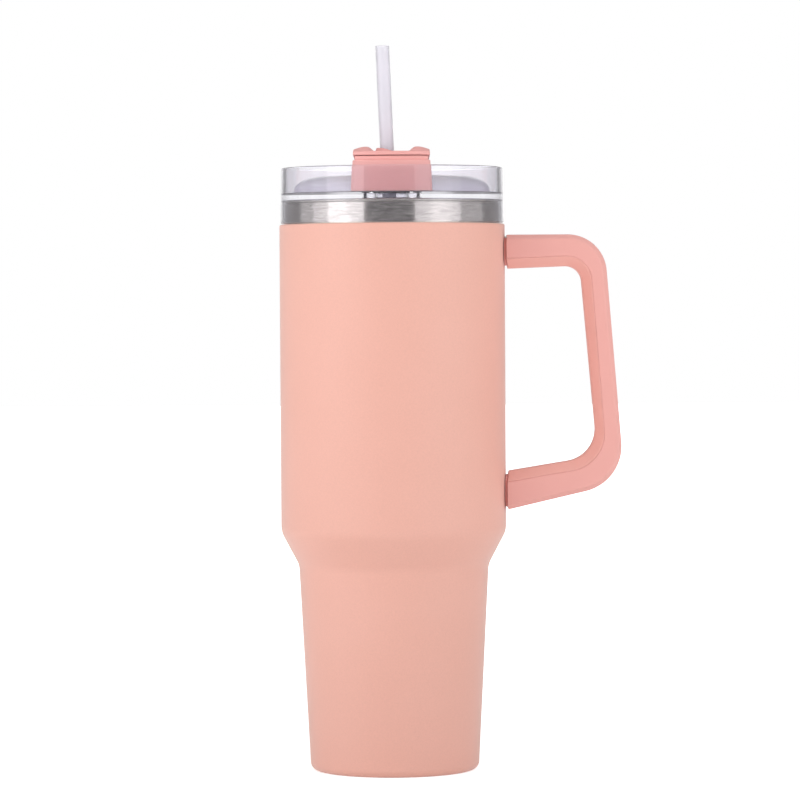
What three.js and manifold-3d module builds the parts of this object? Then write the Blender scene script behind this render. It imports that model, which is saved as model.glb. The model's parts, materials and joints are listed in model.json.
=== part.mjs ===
// Insulated tumbler with side handle, press-on clear lid, turning drink cover and drinking straw.
// Millimetres, +Z up. The origin is on the tumbler's axis, in the plane that it stands on.
// +X points at the handle, and -Y is the side that the drink opening faces.
import * as THREE from "three";
import { LoftGeometry } from "three/addons/geometries/LoftGeometry.js";
import { mergeVertices } from "three/addons/utils/BufferGeometryUtils.js";
import Module from "manifold-3d";

const wasm = await Module();
wasm.setup();

// ---- Driving dimensions ----

const bodyRadius = 49; // painted outer wall
const straightHeight = 133.5; // painted wall above the shoulder cone
const shoulderRise = 14.6; // height of the shoulder cone
const shoulderStep = 7.7; // how far the cone draws the wall in
const lowerHeight = 89.4; // tapered part that fits a cup holder
const taperStep = 4.7; // how far the lower part narrows down to the foot
const footCorner = 3.5; // rounding of the bottom edge
const topEdge = 0.6; // rounding of the painted wall's top edge
const shoulderBend = 10; // bend radius at both ends of the cone
const neckStep = 2.5; // the bare neck is this much smaller than the wall
const neckHeight = 10; // bare steel between the painted wall and the lip
const lipThickness = 0.8; // rolled and welded lip
const outerWall = 0.6;
const linerWall = 0.5;
const linerFloor = 10; // underside of the inner liner above the table
const linerCorner = 8; // rounding of the liner's bottom
const footFlange = 6.6; // width of the foot ring
const basePlateThickness = 0.8;
const basePlateInset = 2.6; // from the foot's outside in to the base plate
const pumpHole = 1; // the air was drawn out of the gap through it
const solder = { radius: 2.4, topRadius: 1.8, edge: 0.9, height: 1.2 };
const getterSpot = { x: 14, radius: 4, height: 2.4 };
const strap = { thickness: 0.3, foot: 3, width: 4 };
const foil = { margin: 8, thickness: 0.15 };
const clearance = 0.3; // between pieces that touch or are welded

const handleTopMargin = 4.9; // painted wall above the handle
const handleBottomMargin = 9.2; // painted wall between the handle and the shoulder cone
const reachTop = 42.7; // outer corner of the upper arm, out from the wall
const reachBottom = 51.4; // outer corner of the lower arm, out from the wall
const lowerArmRise = 11.9; // the lower arm climbs this much on its way out
const upperArmHeight = 14.7;
const upperCornerHeight = 13.5;
const lowerArmHeight = 16.5;
const lowerCornerHeight = 11.1;
const gripThicknessTop = 10;
const gripThicknessBottom = 11.4;
const handleWidth = 21; // front to back
const gripBevel = 4.3; // depth of the soft grip, and of its bevel
const gripFaceWidth = 11; // flat inner face of the grip
const frameBevel = 1.9; // bevel of the frame's outer edges
const frameFaceWidth = 16.6; // flat outer face of the frame
const outerCornerTop = 17; // bend radii of the handle's outline
const outerCornerBottom = 20;
const innerCornerTop = 7;
const innerCornerBottom = 14;

const padThickness = 1;
const padOverhang = 0.8; // the pad shows round the handle's end
const padCorner = 5;
const bracketFoot = { width: 12, height: 9, thickness: 1, corner: 1 };
const tongue = { width: 9, height: 5, length: 12 };
const lowerTongueLift = 1.4; // above the arm's middle at the wall, because the arm climbs
const screwReach = 8.5; // screw axis, out from the wall
const screw = { shank: 1.3, head: 2.6, headHeight: 1.5 };

const skirtClearance = 0.4; // lid skirt round the steel neck
const skirtWall = 1.6;
const rimWall = 2.4; // lid wall above the deck
const rimHeight = 11.5;
const rimEdge = 0.7; // eased edge of the rim
const deckThickness = 2.7;
const plugDepth = 9.5; // ring under the deck that carries the gasket
const plugWall = 1.8;
const plugClearance = 2.1; // from the plug ring out to the liner
const groove = { depth: 0.8, height: 4, above: 2.5 };
const gasket = { lip: 0.9, back: 1 }; // thickness of each of its two lips, and of its back

const tubeBore = 6.2; // fixed tube in the middle of the lid
const tubeWall = 1.6;
const tubeBelowDeck = 6;
const opening = { length: 22.6, width: 10, margin: 4.7 }; // drink opening through the deck, inside the plug
const ventRadius = 1.5;

const discInset = 3.5; // from the lid's wall in to the clear disc
const discHeight = 7.2;
const discFoot = 1; // upright foot of the disc, below its rounded edge
const discShoulder = 12.2; // width of the disc's rounded edge
const discWall = 1.8;
const sealOverlap = 1.2; // silicone pad past the drink opening's edge
const sealThickness = 2;
const sealStud = { radius: 3.5, inset: 1.5 }; // holds the pad in the disc
const hubWall = 1.8;
const hubSealThickness = 1.4;

const barWidth = 34.2;
const barDraft = 0.7; // the bar narrows this much on every side up to its cap
const barWall = 1.8;
const barEndGap = 1.1; // from the bar's ends out to the lid's wall
const barHeight = 15.1;
const capThickness = 1.7;
const capSkirt = { depth: 2, wall: 1.2 };
const collar = { wall: 0.9, height: 2.9, flare: 1, edge: 1 };
const ridge = { inner: 8, peak: 10.8, crown: 0.8, height: 2.4, outerHeight: 0.6, length: 66, endSlope: 5 };
const retainer = { width: 2.4, thickness: 1.5 };

const strawRadius = 3;
const strawWall = 0.7;
const strawAboveCollar = 44.3;
const strawLean = 2.35; // degrees, top leaning away from the handle
const strawCollarOffset = 2; // straw's axis from the lid's axis, at the collar
const strawLift = 0.4; // from the cup's floor up to the straw's lowest edge
const bush = { flange: 1.6, height: 5 }; // silicone bush round the straw

const seatFacets = 48; // round pieces the size of the tumbler
const smallFacets = 24;
const pinFacets = 16;
const wallSteps = 3; // per bend of a turned outline
const handleSteps = 6; // per bend of the handle
const barSteps = 8; // per round end of the bar
const discSteps = 5; // over the disc's rounded edge
const slotSteps = 6; // per quarter of a slot's round ends
const past = 1; // how far a cutting solid runs past what it cuts
const weld = 1e-4; // points closer than this are one point
const bendRoom = 0.48; // most of a side that one bend may use up
const leastBend = 0.1; // an inset bend keeps at least this radius

// ---- Levels and radii that follow from them ----

const neckRadius = bodyRadius - neckStep;
const waistRadius = bodyRadius - shoulderStep;
const footRadius = waistRadius - taperStep;
const shoulderTop = lowerHeight + shoulderRise;
const bodyTop = shoulderTop + straightHeight;
const lipTop = bodyTop + neckHeight;
const linerRadius = neckRadius - outerWall - clearance;
const linerBore = linerRadius - linerWall;
const flangeInner = footRadius - footFlange;

const deckBottom = lipTop + clearance;
const deckTop = deckBottom + deckThickness;
const lidTop = deckTop + rimHeight;
const lidRadius = neckRadius + skirtClearance + skirtWall;
const rimBore = lidRadius - rimWall;
const plugRadius = linerBore - plugClearance;
const tubeRadius = tubeBore + tubeWall;
const openingOffset = plugRadius - plugWall - opening.margin - opening.width / 2;

const discRadius = rimBore - discInset;
const discTop = deckTop + clearance + discHeight;
const hubBore = tubeRadius + clearance;
const hubRadius = hubBore + hubWall;
const barEnd = rimBore - barEndGap;
const barBottom = deckTop + clearance;
const barTop = barBottom + barHeight;
const barFloor = discTop + clearance + barWall;
const capBottom = barTop + clearance;
const capTop = capBottom + capThickness;
const collarTop = capTop + collar.height;
const retainerTop = capBottom - capSkirt.depth / 2;
const hubTop = retainerTop - retainer.thickness - clearance;
const tubeTop = capBottom - clearance;

const handleTop = bodyTop - handleTopMargin;
const handleBottom = shoulderTop + handleBottomMargin;

// ---- Materials ----

const finish = (color, roughness, metalness = 0, opacity = 1) =>
  new THREE.MeshStandardMaterial({ color, roughness, metalness, opacity, transparent: opacity < 1 });
const powderCoat = finish(0xf0b9aa, 0.6);
const brushedSteel = finish(0xc9c5c2, 0.32, 1);
const copper = finish(0xb87346, 0.35, 1);
const glassSolder = finish(0x3b3a38, 0.25);
const getterMetal = finish(0x5d5c5a, 0.8, 0.6);
const pinkPlastic = finish(0xe79c97, 0.5);
const softGrip = finish(0xe3918d, 0.75);
const padRubber = finish(0xa8605e, 0.8);
const clearPlastic = finish(0xe9ebf2, 0.08, 0, 0.35);
const silicone = finish(0xe6e4e6, 0.6, 0, 0.8);
const strawPlastic = finish(0xeae5ec, 0.35, 0, 0.8);

// ---- Solid helpers ----

const tumbler = new THREE.Group();

function addPiece(name, geometry, material) {
  const mesh = new THREE.Mesh(geometry, material);
  mesh.name = name;
  tumbler.add(mesh);
}

// A closed geometry as a manifold-3d solid, for cuts and joins.
function toSolid(geometry) {
  const bare = geometry.index ? geometry.toNonIndexed() : geometry.clone();
  bare.deleteAttribute("normal");
  bare.deleteAttribute("uv");
  const merged = mergeVertices(bare, weld);
  const vertProperties = merged.attributes.position.array;
  const triVerts = new Uint32Array(merged.index.array);
  return new wasm.Manifold(new wasm.Mesh({ numProp: 3, vertProperties, triVerts }));
}

function toGeometry(solid) {
  const { vertProperties, triVerts } = solid.getMesh();
  return new THREE.BufferGeometry()
    .setAttribute("position", new THREE.BufferAttribute(vertProperties, 3))
    .setIndex(new THREE.BufferAttribute(triVerts, 1));
}

// Revolves [radius, height] points about Z. The outline ends on the axis at both ends, or closes on itself.
function revolve(outline, facets = seatFacets) {
  const points = outline.map(([r, z]) => new THREE.Vector2(r, z));
  const onAxis = points[0].x === 0 && points.at(-1).x === 0;
  if (THREE.ShapeUtils.area(points) < 0) points.reverse();
  if (!onAxis) points.push(points[0].clone());
  return new THREE.LatheGeometry(points, facets).rotateX(Math.PI / 2);
}

const ring = (inner, outer, bottom, top) => [
  [inner, bottom],
  [outer, bottom],
  [outer, top],
  [inner, top],
];

const rod = (radius, bottom, top) => [
  [0, bottom],
  [radius, bottom],
  [radius, top],
  [0, top],
];

// A box from its lowest and highest corners.
function box([x0, y0, z0], [x1, y1, z1]) {
  const geometry = new THREE.BoxGeometry(x1 - x0, y1 - y0, z1 - z0);
  return geometry.translate((x0 + x1) / 2, (y0 + y1) / 2, (z0 + z1) / 2);
}

// Extrudes a shape drawn in XY upwards from one level to another.
const extrudeUp = (shape, bottom, top) =>
  new THREE.ExtrudeGeometry(shape, { depth: top - bottom, bevelEnabled: false, curveSegments: slotSteps })
    .translate(0, 0, bottom);

// Extrudes a shape drawn as [x, z] along Y, centred on Y = 0.
function extrudeAcross(points, width) {
  const shape = new THREE.Shape(points.map(([x, z]) => new THREE.Vector2(x, z)));
  return new THREE.ExtrudeGeometry(shape, { depth: width, bevelEnabled: false })
    .rotateX(Math.PI / 2)
    .translate(0, width / 2, 0);
}

// ---- Outlines with rounded corners ----

// Walks [x, y, bend radius] corners and returns a polyline with an arc of the given steps at each bend.
function bendCorners(corners, steps) {
  const path = [];
  corners.forEach(([x, y, bend], i) => {
    const here = new THREE.Vector2(x, y);
    if (!bend || i === 0 || i === corners.length - 1) {
      path.push([x, y]);
      return;
    }
    const back = new THREE.Vector2(...corners[i - 1]).sub(here);
    const ahead = new THREE.Vector2(...corners[i + 1]).sub(here);
    const halfAngle = Math.acos(back.dot(ahead) / back.length() / ahead.length()) / 2;
    const room = bendRoom * Math.min(back.length(), ahead.length());
    const trim = Math.min(bend / Math.tan(halfAngle), room);
    const radius = trim * Math.tan(halfAngle);
    const middle = back.clone().normalize().add(ahead.clone().normalize()).normalize();
    const centre = here.clone().addScaledVector(middle, radius / Math.sin(halfAngle));
    const start = here.clone().addScaledVector(back.normalize(), trim).sub(centre);
    const end = here.clone().addScaledVector(ahead.normalize(), trim).sub(centre);
    const turn = Math.atan2(start.cross(end), start.dot(end));
    for (let k = 0; k <= steps; k++) {
      const p = start.clone().rotateAround(new THREE.Vector2(), (turn * k) / steps).add(centre);
      path.push([p.x, p.y]);
    }
  });
  return path;
}

// Moves every side of an open outline to its left by the inset, and keeps the bends concentric.
function insetCorners(corners, inset) {
  const normals = corners.slice(1).map(([x, y], i) => {
    const along = new THREE.Vector2(x - corners[i][0], y - corners[i][1]).normalize();
    return new THREE.Vector2(-along.y, along.x);
  });
  return corners.map(([x, y, bend = 0], i) => {
    const before = normals[Math.max(i - 1, 0)];
    const after = normals[Math.min(i, normals.length - 1)];
    const miter = before.clone().add(after).normalize();
    const p = new THREE.Vector2(x, y).addScaledVector(miter, inset / miter.dot(before));
    const leftTurn = before.cross(after) > 0;
    return [p.x, p.y, bend && Math.max(bend + (leftTurn ? -inset : inset), leastBend)];
  });
}

// ---- Vessel ----

const shellTop = lipTop - lipThickness - clearance;

// Corners of the outer wall, from the foot ring's inner edge up to the top of the neck.
const wallCorners = [
  [flangeInner, 0, 0],
  [footRadius, 0, footCorner],
  [waistRadius, lowerHeight, shoulderBend],
  [bodyRadius, shoulderTop, shoulderBend],
  [bodyRadius, bodyTop, topEdge],
  [neckRadius, bodyTop, 0],
  [neckRadius, shellTop, 0],
];

function outerShell() {
  const outside = bendCorners(wallCorners, wallSteps);
  const inside = bendCorners(insetCorners(wallCorners, outerWall), wallSteps);
  inside[0][0] = flangeInner;
  inside.at(-1)[1] = shellTop;
  return revolve([...outside, ...inside.reverse()]);
}

// Corners of the liner's outside, from its floor up to the lip.
function linerCorners() {
  const moved = insetCorners(wallCorners, bodyRadius - linerRadius);
  const [, foot, waist, shoulder] = moved;
  const slope = (waist[0] - foot[0]) / (waist[1] - foot[1]);
  return [
    [0, linerFloor, 0],
    [waist[0] - slope * (waist[1] - linerFloor), linerFloor, linerCorner],
    waist,
    shoulder,
    [linerRadius, lipTop - lipThickness, 0],
  ];
}

function innerLiner() {
  const corners = linerCorners();
  const outside = bendCorners(corners, wallSteps);
  const inside = bendCorners(insetCorners(corners, linerWall), wallSteps);
  inside[0] = [0, linerFloor + linerWall];
  inside.at(-1)[1] = lipTop;
  const lip = [
    [neckRadius, lipTop - lipThickness],
    [neckRadius, lipTop],
  ];
  return revolve([...outside, ...lip, ...inside.reverse()]);
}

// Copper foil round the liner, in the vacuum gap.
function linerFoil() {
  const inner = linerRadius + clearance;
  return revolve(ring(inner, inner + foil.thickness, shoulderTop + foil.margin, bodyTop - foil.margin));
}

const basePlateBottom = outerWall + clearance;
const basePlateTop = basePlateBottom + basePlateThickness;

const basePlate = () =>
  revolve(ring(pumpHole, footRadius - basePlateInset, basePlateBottom, basePlateTop));

const baseCap = () => revolve(rod(flangeInner - clearance, 0, outerWall));

// Bead of solder glass that closed the pump hole.
function vacuumSeal() {
  const top = basePlateTop + clearance;
  return revolve(
    [
      [0, basePlateBottom],
      [pumpHole - clearance, basePlateBottom],
      [pumpHole - clearance, top],
      [solder.radius, top],
      [solder.topRadius, top + solder.edge],
      [0, top + solder.height],
    ],
    pinFacets,
  );
}

// Pellet that soaks up stray gas in the vacuum gap.
function getter() {
  const bottom = basePlateTop + clearance;
  return revolve(rod(getterSpot.radius, bottom, bottom + getterSpot.height), pinFacets)
    .translate(getterSpot.x, 0, 0);
}

// Thin strap, spot-welded to the base plate at both feet, that holds the getter down.
function getterStrap() {
  const { thickness, foot, width } = strap;
  const low = basePlateTop + clearance;
  const high = low + getterSpot.height + clearance;
  const half = getterSpot.radius + clearance;
  const outline = [
    [-half - foot, low],
    [-half, low],
    [-half, high],
    [half, high],
    [half, low],
    [half + foot, low],
    [half + foot, low + thickness],
    [half + thickness, low + thickness],
    [half + thickness, high + thickness],
    [-half - thickness, high + thickness],
    [-half - thickness, low + thickness],
    [-half - foot, low + thickness],
  ];
  return extrudeAcross(outline, width).translate(getterSpot.x, 0, 0);
}

// ---- Handle ----

const sideHalf = handleWidth / 2;

// Stations along the handle, each with its outer and inner point as [x, z].
function handleStations() {
  const root = bodyRadius - sideHalf; // inside the wall, and cut back to it later
  const outerTop = [bodyRadius + reachTop, handleTop, outerCornerTop];
  const outerBottom = [bodyRadius + reachBottom, handleBottom + lowerArmRise, outerCornerBottom];
  const innerTop = [outerTop[0] - gripThicknessTop, handleTop - upperCornerHeight, innerCornerTop];
  const innerBottom = [
    outerBottom[0] - gripThicknessBottom,
    outerBottom[1] + lowerCornerHeight,
    innerCornerBottom,
  ];
  // Where an arm's edge, drawn from its corner to the wall, meets the hidden root.
  const rootPoint = ([x, z], wallZ) => [root, wallZ + ((wallZ - z) * (bodyRadius - root)) / (x - bodyRadius)];
  const outer = [
    rootPoint(outerTop, handleTop),
    outerTop,
    outerBottom,
    rootPoint(outerBottom, handleBottom),
  ];
  const inner = [
    rootPoint(innerTop, handleTop - upperArmHeight),
    innerTop,
    innerBottom,
    rootPoint(innerBottom, handleBottom + lowerArmHeight),
  ];
  const outerPath = bendCorners(outer, handleSteps);
  return bendCorners(inner, handleSteps).map((point, i) => ({ outer: outerPath[i], inner: point }));
}

const stations = handleStations();

// Lofts a section along the handle. The section gives [distance from the inner edge, y] for a thickness.
function handleLoft(section) {
  const sections = stations.map(({ outer, inner }) => {
    const from = new THREE.Vector2(...inner);
    const across = new THREE.Vector2(...outer).sub(from);
    const thickness = across.length();
    across.normalize();
    return section(thickness).map(([depth, y]) => {
      const p = from.clone().addScaledVector(across, depth);
      return new THREE.Vector3(p.x, y, p.y);
    });
  });
  return toSolid(new LoftGeometry(sections, { capStart: true, capEnd: true }));
}

const frameSection = (thickness) => [
  [gripBevel, -sideHalf],
  [gripBevel, sideHalf],
  [thickness - frameBevel, sideHalf],
  [thickness, frameFaceWidth / 2],
  [thickness, -frameFaceWidth / 2],
  [thickness - frameBevel, -sideHalf],
];

const gripSection = () => [
  [0, -gripFaceWidth / 2],
  [0, gripFaceWidth / 2],
  [gripBevel - clearance, sideHalf],
  [gripBevel - clearance, -sideHalf],
];

// Everything inside the given radius, to cut a saddle that sits on the round wall.
const wallCut = (radius) => toSolid(revolve(rod(radius, shoulderTop, lipTop)));

const padInner = bodyRadius + clearance;
const padOuter = padInner + padThickness;
const frameStart = padOuter + clearance;

// Height of an arm's inner edge where its screw is, between the wall and the inner corner.
function innerEdgeAtScrew(wallZ, cornerZ, cornerReach) {
  return wallZ + ((cornerZ - wallZ) * screwReach) / cornerReach;
}

const upperInnerEdge = innerEdgeAtScrew(
  handleTop - upperArmHeight,
  handleTop - upperCornerHeight,
  reachTop - gripThicknessTop,
);
const lowerInnerEdge = innerEdgeAtScrew(
  handleBottom + lowerArmHeight,
  handleBottom + lowerArmRise + lowerCornerHeight,
  reachBottom - gripThicknessBottom,
);

// The two arms: where each tongue lies, and which way its screw points.
const arms = [
  {
    name: "upper",
    tongueZ: handleTop - (upperArmHeight - gripBevel) / 2,
    edges: [handleTop - upperArmHeight, handleTop],
    headZ: upperInnerEdge + gripBevel,
    inward: 1,
  },
  {
    name: "lower",
    tongueZ: handleBottom + (lowerArmHeight - gripBevel) / 2 + lowerTongueLift,
    edges: [handleBottom, handleBottom + lowerArmHeight],
    headZ: lowerInnerEdge - gripBevel,
    inward: -1,
  },
];

// The screw with its head under the grip. Grown, and with room for the driver, it is the hole to cut.
function screwSolid(arm, grow = 0, driverRoom = 0) {
  const top = -arm.inward * (grow + driverRoom);
  const tip = arm.inward * (Math.abs(arm.tongueZ - arm.headZ) + tongue.height / 2 - clearance);
  const under = arm.inward * screw.headHeight;
  const outline = [
    [0, top],
    [screw.head + grow, top],
    [screw.head + grow, under + arm.inward * grow],
    [screw.shank + grow, under + arm.inward * grow],
    [screw.shank + grow, tip + arm.inward * grow],
    [0, tip + arm.inward * grow],
  ];
  return revolve(outline, pinFacets).translate(bodyRadius + screwReach, 0, arm.headZ);
}

// The bracket's tongue, which starts inside the wall and is cut back to it.
function tongueSolid(arm, grow) {
  const { width, height, length } = tongue;
  return box(
    [bodyRadius - width / 2, -width / 2 - grow, arm.tongueZ - height / 2 - grow],
    [padOuter + length + grow, width / 2 + grow, arm.tongueZ + height / 2 + grow],
  );
}

// A curved plate on the wall: the part of a round shell inside an upright rectangle.
function saddle(inner, outer, width, low, high, corner) {
  const shell = toSolid(revolve(ring(inner, outer, low - past, high + past), 2 * seatFacets));
  const half = width / 2;
  const corners = [
    [0, low, 0],
    [half, low, corner],
    [half, high, corner],
    [-half, high, corner],
    [-half, low, corner],
    [0, low, 0],
  ];
  const outline = bendCorners(corners, wallSteps).slice(0, -1);
  const shape = new THREE.Shape(outline.map(([y, z]) => new THREE.Vector2(y, z)));
  const window = new THREE.ExtrudeGeometry(shape, { depth: outer, bevelEnabled: false })
    .rotateX(Math.PI / 2)
    .rotateZ(Math.PI / 2);
  return shell.intersect(toSolid(window));
}

// Welded foot with a tongue that the handle's arm slides over.
function bracket(arm) {
  const { width, height, thickness, corner } = bracketFoot;
  const low = arm.tongueZ - height / 2;
  const foot = saddle(padInner, padInner + thickness, width, low, low + height, corner);
  const bar = toSolid(tongueSolid(arm, 0)).subtract(wallCut(padInner + thickness / 2));
  return toGeometry(foot.add(bar).subtract(toSolid(screwSolid(arm, clearance))));
}

// Thin pad between an arm's end and the wall, open round the bracket's foot.
function endPad(arm) {
  const [low, high] = arm.edges;
  const width = handleWidth + 2 * padOverhang;
  const whole = saddle(padInner, padOuter, width, low - padOverhang, high + padOverhang, padCorner);
  const { width: footWidth, height } = bracketFoot;
  const window = box(
    [0, -footWidth / 2 - clearance, arm.tongueZ - height / 2 - clearance],
    [padOuter + past, footWidth / 2 + clearance, arm.tongueZ + height / 2 + clearance],
  );
  return toGeometry(whole.subtract(toSolid(window)));
}

function handleFrame() {
  let frame = handleLoft(frameSection).subtract(wallCut(frameStart));
  for (const arm of arms) {
    frame = frame.subtract(toSolid(tongueSolid(arm, clearance)));
    frame = frame.subtract(toSolid(screwSolid(arm, clearance, gripBevel)));
  }
  return toGeometry(frame);
}

function handleGrip() {
  return toGeometry(handleLoft(gripSection).subtract(wallCut(frameStart)));
}

// ---- Lid ----

// The drink opening's outline, a slot with round ends on the -Y side, grown by a margin.
function openingShape(grow) {
  const radius = opening.width / 2 + grow;
  const end = (opening.length - opening.width) / 2;
  return new THREE.Shape()
    .absarc(end, -openingOffset, radius, -Math.PI / 2, Math.PI / 2, false)
    .absarc(-end, -openingOffset, radius, Math.PI / 2, Math.PI * 1.5, false);
}

function lidBody() {
  const plugBottom = deckBottom - plugDepth;
  const grooveLow = plugBottom + groove.above;
  const grooveBed = plugRadius - groove.depth;
  const skirtBottom = bodyTop + skirtClearance;
  const turned = revolve([
    [tubeBore, deckBottom - tubeBelowDeck],
    [tubeRadius, deckBottom - tubeBelowDeck],
    [tubeRadius, deckBottom],
    [plugRadius - plugWall, deckBottom],
    [plugRadius - plugWall, plugBottom],
    [plugRadius, plugBottom],
    [plugRadius, grooveLow],
    [grooveBed, grooveLow],
    [grooveBed, grooveLow + groove.height],
    [plugRadius, grooveLow + groove.height],
    [plugRadius, deckBottom],
    [neckRadius + skirtClearance, deckBottom],
    [neckRadius + skirtClearance, skirtBottom],
    [lidRadius, skirtBottom],
    [lidRadius, lidTop - rimEdge],
    [lidRadius - rimEdge, lidTop],
    [rimBore + rimEdge, lidTop],
    [rimBore, lidTop - rimEdge],
    [rimBore, deckTop],
    [tubeRadius, deckTop],
    [tubeRadius, tubeTop],
    [tubeBore, tubeTop],
  ]);
  const drink = extrudeUp(openingShape(0), deckBottom - past, deckTop + past);
  const vent = revolve(rod(ventRadius, deckBottom - past, deckTop + past), pinFacets)
    .translate(0, openingOffset, 0);
  return toGeometry(toSolid(turned).subtract(toSolid(drink)).subtract(toSolid(vent)));
}

// Silicone ring with two lips that press on the liner.
function lidGasket() {
  const low = deckBottom - plugDepth + groove.above + clearance;
  const high = low + groove.height - 2 * clearance;
  const bed = plugRadius - groove.depth + clearance;
  const back = bed + gasket.back;
  const tip = linerBore - clearance;
  return revolve([
    [bed, low],
    [tip, low],
    [tip, low + gasket.lip],
    [back, low + gasket.lip],
    [back, high - gasket.lip],
    [tip, high - gasket.lip],
    [tip, high],
    [bed, high],
  ]);
}

// The clear disc's rounded edge, from its flat top down to its foot, moved in by the inset.
function discOutline(inset) {
  const flat = discRadius - discShoulder;
  const low = deckTop + clearance + discFoot;
  const points = [];
  for (let k = 0; k <= discSteps; k++) {
    const turn = (Math.PI / 2) * (k / discSteps);
    points.push([
      flat + (discShoulder - inset) * Math.sin(turn),
      low + (discTop - low - inset) * Math.cos(turn),
    ]);
  }
  return points;
}

// Clear domed disc. Its spout is a quarter turn from the drink opening while the lid is closed.
function turnDisc() {
  const hole = hubRadius + clearance;
  const low = deckTop + clearance;
  const dome = revolve([
    [hole, discTop - discWall],
    [hole, discTop],
    ...discOutline(0),
    [discRadius, low],
    [discRadius - discWall, low],
    ...discOutline(discWall).reverse(),
  ]);
  const spout = extrudeUp(openingShape(0), deckTop, discTop + past).rotateZ(-Math.PI / 2);
  return toGeometry(toSolid(dome).subtract(toSolid(spout)));
}

// Silicone pad under the disc that closes the drink opening.
function sipSeal() {
  const low = deckTop + clearance;
  const pad = extrudeUp(openingShape(sealOverlap), low, low + sealThickness);
  const studTop = discTop - discWall - 2 * clearance;
  const stud = revolve(rod(sealStud.radius, low + sealThickness / 2, studTop), pinFacets)
    .translate(0, sealStud.inset - openingOffset, 0);
  return toGeometry(toSolid(pad).add(toSolid(stud)));
}

// Small pad that closes the vent, across from the drink opening.
const ventSeal = () => {
  const low = deckTop + clearance;
  return revolve(rod(2 * ventRadius, low, low + sealThickness), pinFacets).translate(0, openingOffset, 0);
};

// Washer that the bar's hub turns on.
const hubSeal = () => {
  const low = deckTop + clearance;
  return revolve(ring(hubBore, hubRadius, low, low + hubSealThickness), smallFacets);
};

// The bar's outline in plan at a level: two straight sides, and round ends concentric with the lid.
function barOutline(inset, level) {
  const half = barWidth / 2 - inset;
  const radius = barEnd - inset;
  const side = Math.acos(half / radius);
  const points = [];
  for (const start of [side, Math.PI + side]) {
    for (let k = 0; k <= barSteps; k++) {
      const turn = start + ((Math.PI - 2 * side) * k) / barSteps;
      points.push(new THREE.Vector3(radius * Math.cos(turn), radius * Math.sin(turn), level));
    }
  }
  return points;
}

// A block with the bar's outline, drawn in by one inset at its bottom and another at its top.
function barBlock(bottomInset, topInset, bottom, top) {
  const outlines = [barOutline(bottomInset, bottom), barOutline(topInset, top)];
  return toSolid(new LoftGeometry(outlines, { capStart: true, capEnd: true }));
}

// Hollow block that fingers turn. It straddles the disc, and its hub turns on the lid's tube.
function turnBar() {
  const discRoom = revolve([
    [0, deckTop - past],
    [discRadius + clearance, deckTop - past],
    ...discOutline(-clearance).reverse(),
    [0, discTop + clearance],
  ]);
  const hubBottom = deckTop + 2 * clearance + hubSealThickness;
  const hub = toSolid(revolve(rod(hubRadius, hubBottom, hubTop), smallFacets));
  const pocketInset = barDraft + barWall;
  const pocket = barBlock(pocketInset, pocketInset, barFloor, barTop + past).subtract(hub);
  const shell = barBlock(0, barDraft, barBottom, barTop).subtract(toSolid(discRoom));
  const bore = toSolid(revolve(rod(hubBore, deckTop, barTop + past), smallFacets));
  return toGeometry(shell.subtract(pocket).add(hub).subtract(bore));
}

// A finger ridge along one side of the bar's cap, with sloping ends.
function ridgeSolid(side) {
  const outer = barWidth / 2;
  const root = capTop - capThickness / 2;
  const peak = capTop + ridge.height;
  const profile = [
    [ridge.inner, root],
    [ridge.inner, capTop],
    [ridge.peak - ridge.crown, peak],
    [ridge.peak + ridge.crown, peak],
    [outer, capTop + ridge.outerHeight],
    [outer, root],
  ];
  const half = ridge.length / 2;
  const slopes = [
    [-half, root],
    [half, root],
    [half, capTop],
    [half - ridge.endSlope, peak + past],
    [ridge.endSlope - half, peak + past],
    [-half, capTop],
  ];
  const prism = toSolid(extrudeAcross(profile, ridge.length + past));
  const ends = toSolid(extrudeAcross(slopes, barWidth + past).rotateZ(Math.PI / 2));
  const solid = prism.intersect(ends);
  return side > 0 ? solid : solid.mirror([1, 0, 0]);
}

// Plate that closes the bar, with a skirt inside it, two finger ridges and a collar round the straw.
function barCap() {
  const root = capTop - capThickness / 2;
  const plate = barBlock(barDraft, barDraft, capBottom, capTop);
  const skirtInset = barDraft + barWall + clearance;
  const skirtBottom = capBottom - capSkirt.depth;
  const skirtOuter = barBlock(skirtInset, skirtInset, skirtBottom, root);
  const skirtBore = skirtInset + capSkirt.wall;
  const skirtInner = barBlock(skirtBore, skirtBore, skirtBottom - past, capBottom);
  const ridges = ridgeSolid(1).add(ridgeSolid(-1));
  const outline = barBlock(barDraft, barDraft, capBottom, collarTop);
  const collarRadius = tubeBore + collar.wall;
  const collarOutline = [
    [0, root],
    [collarRadius + collar.flare, root],
    [collarRadius + collar.flare, capTop],
    [collarRadius, collarTop - collar.edge],
    [collarRadius - collar.wall / 2, collarTop],
    [0, collarTop],
  ];
  const bore = revolve(rod(tubeBore, capBottom - past, collarTop + past), smallFacets);
  return toGeometry(
    plate
      .add(skirtOuter.subtract(skirtInner))
      .add(ridges.intersect(outline))
      .add(toSolid(revolve(collarOutline, smallFacets)))
      .subtract(toSolid(bore)),
  );
}

// Snap ring at the top of the fixed tube that keeps the bar on it.
const retainerRing = () => {
  const low = retainerTop - retainer.thickness;
  return revolve(ring(hubBore, hubBore + retainer.width, low, retainerTop), smallFacets);
};

// ---- Straw and its seal ----

const lean = THREE.MathUtils.degToRad(strawLean);
const strawBottom = linerFloor + linerWall + strawLift + strawRadius * Math.sin(lean);
const strawTop = collarTop + strawAboveCollar;

// Stands a piece drawn about Z, from height 0 at the straw's foot, along the straw's leaning axis.
function alongStraw(geometry) {
  const footX = -strawCollarOffset + Math.tan(lean) * (collarTop - strawBottom);
  return geometry.rotateY(-lean).translate(footX, 0, strawBottom);
}

const strawLength = (strawTop - strawBottom) / Math.cos(lean);

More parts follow.
